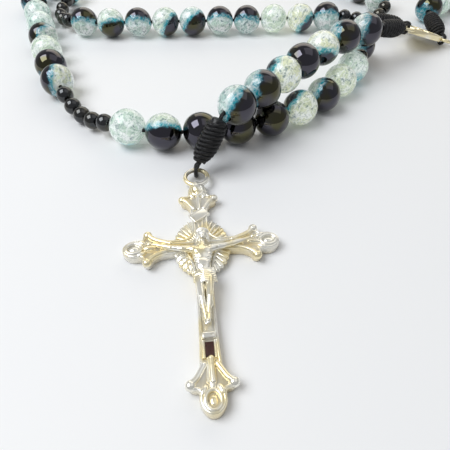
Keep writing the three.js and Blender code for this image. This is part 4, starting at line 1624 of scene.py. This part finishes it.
def placing(centre: Sequence[float], scale: Sequence[float], turn: float) -> Matrix:
    """Returns the matrix that scales a shape, turns it round Z and moves it to its centre."""
    turned_there = Matrix.Translation(centre) @ Matrix.Rotation(turn, 4, "Z")
    return turned_there @ Matrix.Diagonal((*scale, 1.0))


def ball(name: str, centre: Sequence[float], radii: Sequence[float], turn: float = 0.0) -> Mesh:
    """Returns a smooth ball or egg.

    Args:
        name: The mesh's name.
        centre: Its centre.
        radii: Its three half axes.
        turn: How far it is turned round Z.

    Returns:
        The mesh.
    """
    mesh = bpy.data.meshes.new(name)
    solid = bmesh.new()
    matrix = placing(centre, radii, turn)
    bmesh.ops.create_uvsphere(solid, u_segments=24, v_segments=14, radius=1.0, matrix=matrix)
    solid.to_mesh(mesh)
    solid.free()
    return mesh


def softened_box(
    name: str,
    size: Sequence[float],
    centre: Sequence[float],
    bevel: float,
    turn: float = 0.0,
) -> Mesh:
    """Returns a box with rounded edges.

    Args:
        name: The mesh's name.
        size: Its three sides.
        centre: Its centre.
        bevel: How far its edges are rounded.
        turn: How far it is turned round Z.

    Returns:
        The mesh.
    """
    mesh = bpy.data.meshes.new(name)
    solid = bmesh.new()
    bmesh.ops.create_cube(solid, size=1.0, matrix=placing(centre, size, turn))
    edges = solid.edges[:]
    bmesh.ops.bevel(solid, geom=edges, offset=bevel, segments=3, profile=0.6, affect="EDGES")
    solid.to_mesh(mesh)
    solid.free()
    return mesh


class RayRing:
    """A Geometry Nodes tree that sets equal ribs round an oval, pointing outward."""

    def __init__(self) -> None:
        """Builds the tree."""
        self.tree, g, given = geometry_tree("ray_ring", {
            "Rib": "NodeSocketObject",
            "Count": "NodeSocketInt",
            "Radius": "NodeSocketFloat",
            "Oval": "NodeSocketFloat",
            "Height": "NodeSocketFloat",
            "Finish": "NodeSocketMaterial",
        })
        original = {"transform_space": "ORIGINAL"}
        rib = g.add("GeometryNodeObjectInfo", original, {"Object": given["Rib"]}, "Geometry")
        circle = g.add("GeometryNodeMeshCircle", {"fill_type": "NONE"}, {
            "Vertices": given["Count"], "Radius": given["Radius"],
        })
        angle = g.add("GeometryNodeInputIndex") * math.tau / given["Count"]
        turn = g.add("ShaderNodeCombineXYZ", {}, {2: angle})
        growth = angle.math("SINE") * angle.math("SINE") * (given["Oval"] - 1.0)
        size = g.add("ShaderNodeCombineXYZ", {}, {0: 1.0 + growth, 1: 1.0, 2: 1.0})
        ribs = g.add("GeometryNodeInstanceOnPoints", {}, {
            "Points": circle, "Instance": rib, "Rotation": turn, "Scale": size,
        })
        whole = g.add("GeometryNodeRealizeInstances", {}, {"Geometry": ribs})
        stretch = g.add("ShaderNodeCombineXYZ", {}, {0: 1.0, 1: given["Oval"], 2: 1.0})
        lift = g.add("ShaderNodeCombineXYZ", {}, {2: given["Height"]})
        place = g.add("GeometryNodeTransform", {}, {
            "Geometry": whole, "Translation": lift, "Scale": stretch,
        })
        finish = {"Geometry": place, "Material": given["Finish"]}
        g.node("NodeGroupOutput", {}, {"Geometry": g.add("GeometryNodeSetMaterial", {}, finish)})

    def build(self, rib: Mesh, material: Material, given: dict) -> Mesh:
        """Returns the ribs as one plain mesh."""
        source = bpy.data.objects.new("rib_source", rib)
        return grown(self.tree, "ribs", source, {"Rib": source, "Finish": material, **given})


@dataclass(frozen=True)
class Relief:
    """The sizes of the cast ornaments. A depth is below the plate's top, and a rise above it."""

    bar_corner_reach: float = 0.9 * MM
    bar_corner_steps: int = 8
    bar_step: float = 0.16 * MM
    border_inset: float = 0.3 * MM
    border_wire: float = 0.27 * MM
    border_step: float = 0.18 * MM
    border_height: float = 1.72 * MM
    scroll_wire: float = 0.46 * MM
    scroll_depth: float = 0.2 * MM
    upright_scroll: tuple = (0.4 * MM, 0.95 * MM)
    side_scroll: tuple = (-0.9 * MM, 0.7 * MM)
    scroll_shares: tuple = ((0.16, 0.42), (0.32, 0.62), (0.4, 0.86))
    knob: tuple = (0.82 * MM, 0.82 * MM, 0.78 * MM)
    knob_depth: float = 0.45 * MM
    knob_shares: tuple = (0.42, 0.87)
    petal: tuple = (1.0 * MM, 0.5 * MM, 0.5 * MM)
    petal_depth: float = 0.35 * MM
    petal_shares: tuple = (0.55, 0.36)
    petal_splay: float = 0.5
    cell: tuple = (1.38 * MM, 1.1 * MM)
    cell_wire: float = 0.3 * MM
    cell_depth: float = 0.12 * MM
    cell_share: float = 0.27
    gem: tuple = (0.85 * MM, 0.6 * MM, 0.34 * MM)
    gem_depth: float = 0.42 * MM
    stem: tuple = (1.3 * MM, 0.55 * MM, 0.5 * MM)
    stem_depth: float = 0.4 * MM
    stem_share: float = 0.38
    arm_ridge_out: float = 0.52 * MM
    arm_ridge_wire: float = 0.24 * MM
    arm_ridge_depth: float = 0.16 * MM
    top_ridge_wire: float = 0.34 * MM
    foot_ridges: tuple = ((-0.16 * MM, 0.5 * MM), (0.52 * MM, 0.26 * MM))
    ray: tuple = (1.75 * MM, 0.22 * MM, 0.32 * MM)
    ray_reach: float = 2.0 * MM
    halo_scallop: float = 0.12 * MM
    halo_margin: float = 0.05 * MM
    halo_steps: int = 8
    halo_rim: float = 2.3 * MM
    halo_rim_wire: float = 0.2 * MM
    band_thickness: float = 0.6 * MM
    band_depth: float = 0.19 * MM
    band_bevel: float = 0.16 * MM
    band_edge: float = 0.15 * MM
    band_edge_rise: float = 0.08 * MM
    footrest: tuple = (2.0 * MM, 1.0 * MM, 0.9 * MM)
    footrest_rise: float = 0.05 * MM
    footrest_bevel: float = 0.28 * MM
    pane: tuple = (1.45 * MM, 0.3 * MM)
    pane_height: float = 1.72 * MM
    pane_bevel: float = 0.08 * MM
    frame_out: float = 0.88 * MM
    frame_wire: float = 0.24 * MM
    frame_depth: float = 0.15 * MM
    neck: tuple = (1.5 * MM, 1.6 * MM, 0.8 * MM)


@dataclass
class Crucifix:
    """The cast cross: a plate with trefoil ends, borders, scrolls, a rayed halo and an eye."""

    palette: Palette
    sweep: Sweep
    rays: RayRing
    wire: np.ndarray
    relief: Relief = Relief()
    thickness: float = 2 * MM
    top_reach: float = 15.6 * MM
    foot_reach: float = 28.9 * MM
    span: float = 27.4 * MM
    shaft: float = 2.8 * MM
    fleur_share: float = 0.27
    fleur_width: float = 6.9 * MM
    eye_outer: float = 5.4 * MM
    eye_wire: float = 0.9 * MM
    eye_bite: float = 0.85 * MM
    halo_share: float = 0.372
    halo_oval: float = 1.25
    halo_base: float = 0.5 * MM
    halo_thickness: float = 1.0 * MM
    ray_count: int = 34
    title_length: float = 3.4 * MM
    title_width: float = 2.1 * MM
    title_rise: float = 6.9 * MM
    title_turn: float = math.radians(35)
    footrest_drop: float = 17.4 * MM
    window_size: float = 2.3 * MM
    outline_shares: tuple = (
        (1, 0.41), (0.74, 0.62), (0.68, 0.93), (0.57, 1), (0.47, 0.84), (0.46, 0.5),
        (0.26, 0.57), (0.1, 0.41), (0, 0.16),
    )
    plate_levels: tuple = (
        (0.3 * MM, 0.0), (0.08 * MM, 0.06 * MM), (0.0, 0.25 * MM), (0.0, 1.45 * MM),
        (0.06 * MM, 1.62 * MM), (0.2 * MM, 1.72 * MM), (0.36 * MM, 1.7 * MM),
    )

    def __post_init__(self) -> None:
        """Works out the sizes that follow, and the crucifix's place."""
        self.eye_radius = (self.eye_outer - self.eye_wire) / 2
        self.tip = -(self.eye_radius + self.eye_outer / 2 - self.eye_bite)
        self.middle = self.tip - self.top_reach
        self.fleur = self.span * self.fleur_share
        self.halo = self.span * self.halo_share / 2
        place = Matrix.Translation((self.wire[0], self.wire[1], 0.0))
        self.frame = place @ Matrix.Rotation(CRUCIFIX_TURN, 4, "Z")
        half = self.span / 2
        self.arms = ((half, 0), (self.top_reach, 1), (half, 2), (self.foot_reach, 3))

    def on_arm(self, quarter: int, along: float, out: float) -> tuple[float, float]:
        """Finds a place on an arm.

        Args:
            quarter: The arm: right, top, left or foot.
            along: The distance from the crossing.
            out: The distance to its right side.

        Returns:
            The place.
        """
        turn = quarter * math.pi / 2
        x = along * math.cos(turn) + out * math.sin(turn)
        y = along * math.sin(turn) - out * math.cos(turn) + self.middle
        return x, y

    def outline(self) -> np.ndarray:
        """Draws the plate's outline, with smooth trefoils.

        Returns:
            The outline.
        """
        points = []
        for reach, quarter in self.arms:
            half = self.fleur_width / 2
            side = [(reach - back * self.fleur, out * half) for back, out in self.outline_shares]
            right = [(self.shaft / 2, self.shaft / 2), *side]
            for along, out in [*right, *[(along, -out) for along, out in reversed(side)]]:
                points.append(self.on_arm(quarter, along, out))
        return softened(np.array(points))

    def bar(self, points: Sequence[Sequence[float]], radius: float) -> Mesh:
        """Makes a raised line on the plate, with round ends.

        Args:
            points: Its corners.
            radius: Its radius.

        Returns:
            The mesh.
        """
        r = self.relief
        corners = [np.array(point, float) for point in points]
        route = spaced(rounded(corners, r.bar_corner_reach, r.bar_corner_steps), r.bar_step)
        mesh = self.sweep.wire("bar", route, self.palette.silver, radius, r.bar_step)
        ends = [ball("bar_end", point, (radius, radius, radius)) for point in (route[0], route[-1])]
        return joined("bar", [mesh, *ends])

    def piece(self, name: str, meshes: Sequence[Mesh], material: Material | None = None) -> None:
        """Joins meshes of the crucifix's own frame into one piece on its body.

        Args:
            name: The piece's name.
            meshes: The meshes.
            material: Its finish, or None for the bright cast one.
        """
        mesh = joined(name, meshes) if len(meshes) > 1 else meshes[0]
        mesh.transform(self.frame)
        piece = place_in_scene(name, mesh, material or self.palette.silver)
        fit(piece, "crucifix", "silver", "cross")
        log.info("%s made", name)

    def build(self) -> None:
        """Makes the crucifix's pieces."""
        r, outline = self.relief, self.outline()
        body = plate("cross_plate", outline, self.plate_levels)
        # The plate takes the darker cast finish: painted shade round the raised relief.
        self.piece("cross_plate", [body], self.palette.low)
        border = inset(outline, r.border_inset)
        border = np.vstack([border, border[:2]])
        route = np.hstack([border, np.full((len(border), 1), r.border_height)])
        finish = self.palette.silver
        edge = self.sweep.wire("cross_border", route, finish, r.border_wire, r.border_step)
        self.piece("cross_border", [edge])
        self.build_trefoils()
        self.build_ridges()
        self.build_halo()
        self.build_fittings()

    def build_trefoils(self) -> None:
        """Makes the scrolls, knobs and oval cells of the four ends."""
        r, top, width = self.relief, self.thickness, self.fleur_width / 2
        scrolls, cells = [], []

        def on_fleur(quarter: int, shares: Sequence[float], side: int, depth: float) -> tuple:
            """Returns a place on a trefoil by shares of its length and width, below the top."""
            along = reach - self.fleur + shares[0] * self.fleur
            return (*self.on_arm(quarter, along, side * shares[1] * width), top - depth)

        for reach, quarter in self.arms:
            root = reach - self.fleur
            turn = quarter * math.pi / 2
            for side in (-1, 1):
                along, out = r.upright_scroll if quarter in (1, 3) else r.side_scroll
                first = self.on_arm(quarter, root + along, side * out)
                rest = [on_fleur(quarter, share, side, r.scroll_depth) for share in r.scroll_shares]
                scrolls.append(self.bar([(*first, top - r.scroll_depth), *rest], r.scroll_wire))
                knob = on_fleur(quarter, r.knob_shares, side, r.knob_depth)
                scrolls.append(ball("knob", knob, r.knob))
                petal = on_fleur(quarter, r.petal_shares, side, r.petal_depth)
                scrolls.append(ball("petal", petal, r.petal, turn - side * r.petal_splay))
            centre = self.on_arm(quarter, reach - r.cell_share * self.fleur, 0)
            cells.append(ring("cell", (*centre, top - r.cell_depth), r.cell, r.cell_wire, turn))
            cells.append(ball("gem", (*centre, top - r.gem_depth), r.gem, turn))
            stem = on_fleur(quarter, (r.stem_share, 0), 1, r.stem_depth)
            cells.append(ball("stem", stem, r.stem, turn))
        self.piece("cross_scrolls", scrolls)
        self.piece("cross_cells", cells)

    def build_ridges(self) -> None:
        """Makes the lines along the side arms and the ridge below the window."""
        r, top, ridges = self.relief, self.thickness, []
        for quarter in (0, 2):
            start, end = self.halo * 0.3, self.span / 2 - self.fleur * 0.9
            for out in (-r.arm_ridge_out, r.arm_ridge_out):
                ends = [self.on_arm(quarter, along, out) for along in (start, end)]
                points = [(*end_place, top - r.arm_ridge_depth) for end_place in ends]
                ridges.append(self.bar(points, r.arm_ridge_wire))
        upper = self.on_arm(1, self.title_rise + 1.6 * MM, 0)
        tip = self.on_arm(1, self.top_reach - 0.55 * self.fleur, 0)
        points = [(*upper, top - 0.2 * MM), (*tip, top - 0.15 * MM)]
        ridges.append(self.bar(points, r.top_ridge_wire))
        foot = self.footrest_drop + 3.6 * MM
        low = self.foot_reach - 0.62 * self.fleur
        for out, radius in r.foot_ridges:
            ends = self.on_arm(3, foot, out * 0.7), self.on_arm(3, low, out)
            points = [(*ends[0], top - 0.3 * MM), (*ends[1], top - 0.22 * MM)]
            ridges.append(self.bar(points, radius))
        self.piece("cross_ridges", ridges)

    def build_halo(self) -> None:
        """Makes the rayed halo behind the crossing."""
        r, count = self.relief, self.ray_count
        angles = np.arange(count * r.halo_steps) * math.tau / (count * r.halo_steps)
        radius = self.halo - r.halo_scallop * (1 + np.cos(angles * count))
        radius = radius - r.halo_margin
        sides = [radius * np.cos(angles), radius * self.halo_oval * np.sin(angles)]
        base, high = self.halo_base, self.halo_base + self.halo_thickness
        levels = (
            (0.12 * MM, base), (0.0, base + 0.15 * MM), (0.0, high - 0.2 * MM),
            (0.15 * MM, high - 0.05 * MM),
        )
        disc = plate("halo_disc", np.stack(sides, axis=1), levels)
        rib = ball("rib", (0.0, 0.0, 0.0), r.ray)
        ribs = self.rays.build(rib, self.palette.silver, {
            "Count": count, "Radius": self.halo - r.ray_reach,
            "Oval": self.halo_oval, "Height": high,
        })
        radii = (r.halo_rim, r.halo_rim * self.halo_oval)
        rim = ring("halo_rim", (0, 0, high), radii, r.halo_rim_wire)
        meshes = [disc, ribs, rim]
        for mesh in meshes:
            mesh.transform(Matrix.Translation((0.0, self.middle, 0.0)))
        self.piece("cross_halo", meshes)

    def build_fittings(self) -> None:
        """Makes the title band, the footrest, the window and the hanging eye."""
        self.build_title()
        r, top = self.relief, self.thickness
        foot_y = self.middle - self.footrest_drop
        centre = (0, foot_y - 0.2 * MM, top + r.footrest_rise)
        self.piece("footrest", [softened_box("footrest", r.footrest, centre, r.footrest_bevel)])
        window_y = foot_y - 2.2 * MM
        width, thickness = r.pane
        size = (width, self.window_size, thickness)
        # A dark sheet just under the plate's top: painted shade in the little window.
        pane = softened_box("window", size, (0, window_y, r.pane_height), r.pane_bevel)
        self.piece("window_recess", [pane], self.palette.recess)
        half, height = self.window_size / 2 + 0.1 * MM, top - r.frame_depth
        self.piece("window_frame", [
            self.bar([(x, window_y - half, height), (x, window_y + half, height)], r.frame_wire)
            for x in (-r.frame_out, r.frame_out)
        ])
        height, radii = float(self.wire[2]), (self.eye_radius, self.eye_radius)
        eye = ring("eye", (0, -self.eye_radius, height), radii, self.eye_wire / 2)
        neck = ball("neck", (0, self.tip - 0.7 * MM, height - 0.35 * MM), r.neck)
        self.piece("hanging_eye", [eye, neck])

    def build_title(self) -> None:
        """Makes the bare slanting title band with its two raised edges."""
        r, top = self.relief, self.thickness
        centre = (0.0, self.middle + self.title_rise, top - r.band_depth)
        size = (self.title_length, self.title_width, r.band_thickness)
        meshes = [softened_box("title", size, centre, r.band_bevel, self.title_turn)]
        heading = np.array([math.cos(self.title_turn), math.sin(self.title_turn)])
        along = heading * self.title_length * 0.46
        out = np.array([-along[1], along[0]]) * self.title_width / self.title_length
        for side in (-1, 1):
            places = [np.array(centre[:2]) + side * out + way * along for way in (-1, 1)]
            ends = [(*place, top + r.band_edge_rise) for place in places]
            meshes.append(self.bar(ends, r.band_edge))
        self.piece("title_band", meshes)


@dataclass
class Figure:
    """The cast figure: a generic body of muscles that are melted together.

    Places are shares of the figure's span and height. Sizes are in millimetres until the end.
    """

    crucifix: Crucifix
    height: float = 18.4
    span: float = 19.0
    level: float = 2.75
    top_share: float = 0.14
    grain: float = 0.085

    def __post_init__(self) -> None:
        """Finds the top of the figure in the crucifix's frame, in millimetres."""
        self.top = self.crucifix.middle / MM + self.height * self.top_share
        mesh = ball("clay_ball", (0, 0, 0), (1, 1, 1))
        self.ball_points = np.array([vertex.co for vertex in mesh.vertices])
        self.ball_faces = [tuple(face.vertices) for face in mesh.polygons]
        bpy.data.meshes.remove(mesh)
        self.clay = []

    def at(self, across: float, down: float, rise: float = 0.0) -> Vector:
        """Returns a place by shares of the span and of the height."""
        return Vector((across * self.span, self.top - down * self.height, self.level + rise))

    def lump(self, centre: Vector, radii: Sequence[float], turn: float = 0.0) -> None:
        """Adds an egg of clay."""
        matrix = np.array(placing(centre, radii, turn))
        self.clay.append(self.ball_points @ matrix[:3, :3].T + matrix[:3, 3])

    def limb(self, start: Vector, end: Vector, first: float, last: float, steps: int = 9) -> None:
        """Adds a tapered limb of overlapping balls.

        Args:
            start: Its root.
            end: Its tip.
            first: The radius at its root.
            last: The radius at its tip.
            steps: The balls, less one.
        """
        for i in range(steps + 1):
            share = i / steps
            radius = first + (last - first) * share
            self.lump(start.lerp(end, share), (radius, radius, radius))

    def head(self) -> None:
        """Adds the bowed head with hair, beard, brow and nose, on plain proportions."""
        centre = self.at(0.012, 0.075, 0.25)
        self.lump(centre, (0.92, 1.18, 0.95), 0.12)
        self.lump(centre + Vector((0.0, -0.72, 0.38)), (0.52, 0.62, 0.52), 0.12)
        self.lump(centre + Vector((0.02, -0.06, 0.92)), (0.13, 0.34, 0.2), 0.12)
        for side in (-1, 1):
            self.lump(centre + Vector((side * 0.33, 0.24, 0.8)), (0.26, 0.1, 0.14), side * 0.12)
            self.lump(centre + Vector((side * 0.33, 0.04, 0.74)), (0.17, 0.1, 0.12))
            for lock in range(5):
                root = (side * (0.35 + 0.14 * lock), 0.95 - 0.2 * lock, 0.35 - 0.12 * lock)
                tip = (side * (0.82 + 0.07 * lock), -0.95 - 0.12 * lock, 0.05 - 0.1 * lock)
                self.limb(centre + Vector(root), centre + Vector(tip), 0.24, 0.17, 8)
        for i in range(14):
            angle = math.pi * i / 13
            sine, cosine = math.sin(angle), math.cos(angle)
            place = centre + Vector((0.95 * cosine, 0.3 + 0.55 * sine, 0.55 * sine + 0.2))
            self.lump(place, (0.2, 0.15, 0.2), angle)

    def torso(self) -> None:
        """Adds the chest with its ribs, the waist and the knotted cloth."""
        self.limb(self.at(0.004, 0.13), self.at(0, 0.24), 0.52, 0.72, 5)
        self.lump(self.at(0, 0.29), (1.75, 2.0, 0.85))
        for side in (-1, 1):
            self.lump(self.at(side * 0.042, 0.265, 0.42), (0.82, 0.72, 0.45), side * 0.25)
            for rib in range(4):
                across, down = side * (0.052 - 0.004 * rib), 0.325 + 0.026 * rib
                place = self.at(across, down, 0.42 - 0.03 * rib)
                self.lump(place, (0.72, 0.13, 0.32), side * (0.42 + 0.05 * rib))
        self.lump(self.at(0, 0.41), (1.28, 1.9, 0.72))
        self.lump(self.at(0, 0.42, 0.42), (0.6, 1.1, 0.3))
        self.lump(self.at(0, 0.53), (1.72, 1.15, 0.95))
        for fold in range(7):
            down = 0.495 + 0.017 * fold
            start = self.at(-0.085, down + 0.012, 0.3)
            end = self.at(0.088, down - 0.02 + 0.006 * fold, 0.28)
            middle = start.lerp(end, 0.5) + Vector((0, -0.28, 0.62))
            self.limb(start, middle, 0.17, 0.21, 9)
            self.limb(middle, end, 0.21, 0.17, 9)
        for strand in range(4):
            start = self.at(0.085, 0.5, 0.3)
            end = self.at(0.09 + 0.005 * strand, 0.575 + 0.012 * strand, 0.0)
            self.limb(start, end, 0.26, 0.16, 9)

    def arms(self) -> None:
        """Adds the arms along the bar and the open hands."""
        for side in (-1, 1):
            shoulder = self.at(side * 0.082, 0.235)
            elbow = self.at(side * 0.28, 0.195)
            wrist = self.at(side * 0.435, 0.142)
            hand = self.at(side * 0.468, 0.13)
            self.lump(shoulder, (0.78, 0.72, 0.68))
            self.limb(shoulder, elbow, 0.6, 0.42, 16)
            muscle = shoulder.lerp(elbow, 0.45) + Vector((0, -0.1, 0.1))
            self.lump(muscle, (1.1, 0.5, 0.5), side * 0.1)
            self.limb(elbow, wrist, 0.46, 0.27, 14)
            self.lump(hand, (0.46, 0.38, 0.24), side * 0.3)
            self.lump(hand + Vector((0, 0, 0.22)), (0.14, 0.14, 0.12))
            for finger in range(4):
                start = hand + Vector((side * 0.2, 0.21 - 0.14 * finger, 0.02))
                end = hand + Vector((side * 0.72, 0.34 - 0.17 * finger, 0.1))
                self.limb(start, end, 0.1, 0.075, 6)
            self.limb(hand, hand + Vector((side * 0.12, 0.46, 0.08)), 0.11, 0.08, 5)

    def legs(self) -> None:
        """Adds the legs, bent a little at the knees, and the crossed feet."""
        for side in (-1, 1):
            hip = self.at(side * 0.042, 0.58)
            knee = self.at(side * 0.034, 0.765, 0.42)
            ankle = self.at(side * 0.014, 0.925, 0.05)
            foot = self.at(side * 0.008, 0.985, 0.12 + 0.16 * side)
            self.limb(hip, knee, 0.82, 0.55, 14)
            self.lump(knee, (0.55, 0.6, 0.55))
            self.limb(knee, ankle, 0.54, 0.32, 14)
            self.lump(knee.lerp(ankle, 0.3) + Vector((side * 0.12, 0, -0.15)), (0.5, 1.0, 0.5))
            self.limb(ankle, foot, 0.34, 0.36, 6)
            for toe in range(4):
                start = foot + Vector((0.16 - 0.11 * toe, -0.2, 0.05))
                self.limb(start, start + Vector((0.0, -0.3, -0.02)), 0.11, 0.09, 4)

    def build(self) -> None:
        """Melts the clay together and makes the figure's piece."""
        self.head()
        self.torso()
        self.arms()
        self.legs()
        count = len(self.ball_points)
        starts = range(0, len(self.clay) * count, count)
        faces = [tuple(start + k for k in face) for start in starts for face in self.ball_faces]
        mesh = mesh_of("figure_clay", np.concatenate(self.clay), faces)
        host = bpy.data.objects.new("figure_clay", mesh)
        bpy.context.scene.collection.objects.link(host)
        melt = host.modifiers.new("melt", "REMESH")
        melt.mode = "VOXEL"
        melt.voxel_size = self.grain
        soften = host.modifiers.new("soften", "SMOOTH")
        soften.factor, soften.iterations = 0.5, 2
        bpy.context.view_layer.update()
        graph = bpy.context.evaluated_depsgraph_get()
        result = bpy.data.meshes.new_from_object(host.evaluated_get(graph))
        bpy.data.objects.remove(host)
        bpy.data.meshes.remove(mesh)
        result.transform(self.crucifix.frame @ Matrix.Scale(MM, 4))
        piece = place_in_scene("cast_figure", result, self.crucifix.palette.figure)
        fit(piece, "crucifix", "silver", "figure")
        log.info("figure made, %d faces", len(result.polygons))


@dataclass
class Medal:
    """The centre medal: a rounded triangle with a raised rim, a plain cross and three eyes."""

    strung: Stringing
    palette: Palette
    sweep: Sweep
    offset: np.ndarray
    thickness: float = 1.6 * MM
    rim: float = 0.8 * MM
    sink: float = 0.4 * MM
    cross_length: float = 6 * MM
    cross_bar: tuple = (0.7 * MM, 0.6 * MM)
    shoulder_share: float = 0.667

    def outline(self) -> np.ndarray:
        """Draws the plate's outline.

        Returns:
            The outline.
        """
        sizes = self.strung.sizes
        half, low = sizes.medal_width / 2, self.strung.plate_from
        high = low + sizes.medal_height
        shoulder = low + sizes.medal_height * self.shoulder_share
        right = [
            (0, low), (half * 0.3, low + 0.2 * MM), (half * 0.78, low + 3.4 * MM), (half, shoulder),
            (half * 0.97, high - 1.6 * MM), (half * 0.6, high),
        ]
        left = [(-x, y) for x, y in reversed(right[1:])]
        return softened(np.array([*right, *left]))

    def levels(self) -> list[tuple[float, float]]:
        """Draws the edge's profile, with the raised rim and the sunk face.

        Returns:
            How far in the edge is at each height.
        """
        half, rim = self.thickness / 2, self.rim
        return [
            (rim + 0.3 * MM, -half), (0.25 * MM, -half), (0.05 * MM, -half + 0.1 * MM),
            (0.0, -half + 0.3 * MM), (0.0, half - 0.3 * MM), (0.05 * MM, half - 0.1 * MM),
            (0.25 * MM, half), (rim - 0.15 * MM, half), (rim, half - 0.15 * MM),
            (rim + 0.1 * MM, half - self.sink),
        ]

    def build(self) -> None:
        """Makes the medal."""
        sizes, strung = self.strung.sizes, self.strung
        meshes = [plate("medal_plate", self.outline(), self.levels())]
        middle = strung.plate_from + sizes.medal_height * 0.6
        height = self.thickness / 2 - self.cross_bar[1] / 2
        width, thickness = self.cross_bar
        for size, y in (
            ((width, self.cross_length, thickness), middle),
            ((self.cross_length * 0.7, width, thickness), middle + self.rim),
        ):
            meshes.append(softened_box("medal_cross", size, (0.0, y, height), 0.15 * MM))
        radii = (strung.eye_radius, strung.eye_radius)
        side, along = strung.shoulder_side, strung.shoulder_along
        for x, y in ((0, strung.eye_radius), (side, along), (-side, along)):
            meshes.append(ring("medal_eye", (x, y, 0), radii, sizes.medal_wire / 2))
        mesh = joined("centre_medal", meshes)
        matrix = Matrix([list(row) for row in strung.medal_axes]).to_4x4()
        mesh.transform(Matrix.Translation(strung.medal_eye + self.offset) @ matrix)
        fit(place_in_scene("centre_medal", mesh, self.palette.medal), "medal", "silver", "medal")
        log.info("medal made")


@dataclass(frozen=True)
class Lamp:
    """A soft lamp: the way to it from the rosary, and its distance, size, power and colour."""

    name: str
    way: tuple
    distance: float
    size: tuple
    watts: float
    colour: tuple

    def hang(self, centre: np.ndarray) -> None:
        """Hangs the lamp so that it points at a place.

        Args:
            centre: The place.
        """
        data = bpy.data.lights.new(self.name, "AREA")
        data.shape = "RECTANGLE"
        data.size, data.size_y = self.size
        data.energy = self.watts
        data.color = self.colour
        lamp = bpy.data.objects.new(self.name, data)
        way = Vector(self.way).normalized()
        lamp.location = Vector(centre) + way * self.distance
        lamp.rotation_euler = way.to_track_quat("Z", "Y").to_euler()
        bpy.context.scene.collection.objects.link(lamp)


@dataclass
class Studio:
    """The table and the soft light of a room with a bright side at the upper left."""

    palette: Palette
    centre: np.ndarray
    table_size: float = 1.0
    dim: float = 0.3
    white: tuple = rgb(0.95, 0.97, 1.0)
    lamps: tuple = (
        Lamp("window", (-0.55, -0.12, 0.82), 0.6, (0.44, 0.38), 2.9, (0.94, 0.96, 0.98)),
        Lamp("warm_wall", (0.15, 0.9, 0.5), 0.9, (1.1, 0.55), 2.45, (1.0, 0.92, 0.76)),
        Lamp("ceiling", (0.5, 0.1, 1.0), 1.1, (0.9, 0.9), 1.2, (1.0, 0.99, 0.97)),
    )

    def world(self) -> None:
        """Makes the room: white where the camera sees it, and dim elsewhere."""
        world = bpy.data.worlds.new("room")
        bpy.context.scene.world = world
        world.use_nodes = True
        world.node_tree.nodes.clear()
        g = Graph(world.node_tree)
        rays = g.node("ShaderNodeLightPath")
        camera = Signal(g, rays.outputs["Is Camera Ray"])
        light = {"Color": self.white, "Strength": self.dim + camera * (1 - self.dim)}
        background = g.node("ShaderNodeBackground", {}, light)
        g.node("ShaderNodeOutputWorld", {}, {0: background.outputs[0]})

    def build(self) -> None:
        """Makes the table, the lamps and the room, and sets the plain view."""
        half = self.table_size / 2
        points = [(-half, -half, 0), (half, -half, 0), (half, half, 0), (-half, half, 0)]
        top = mesh_of("table", np.array(points), [(0, 1, 2, 3)])
        place_in_scene("table", top, self.palette.table)
        for lamp in self.lamps:
            lamp.hang(self.centre)
        self.world()
        bpy.context.scene.view_settings.view_transform = "Standard"


def main() -> None:
    """Builds the scene in order: camera and cords, beads, crucifix and figure, medal, studio."""
    logging.basicConfig(level=logging.INFO, format="%(name)s: %(message)s")
    strung = Stringing(Sizes(), Route())
    offset = np.array(CRUCIFIX_HINGE["pos_m"]) - strung.crucifix_wire
    log.info("frame offset %s mm", np.round(offset / MM, 3))
    offset[2] = 0.0
    camera = Camera(offset)
    palette = Palette()
    sweep = Sweep()
    Cords(strung, palette, sweep, offset).build()
    Beads(strung, palette, camera, offset).build()
    crucifix = Crucifix(palette, sweep, RayRing(), strung.crucifix_wire + offset)
    crucifix.build()
    Figure(crucifix).build()
    Medal(strung, palette, sweep, offset).build()
    Studio(palette, np.array([0.0, 0.0, 0.0])).build()


if __name__ == "__main__":
    main()
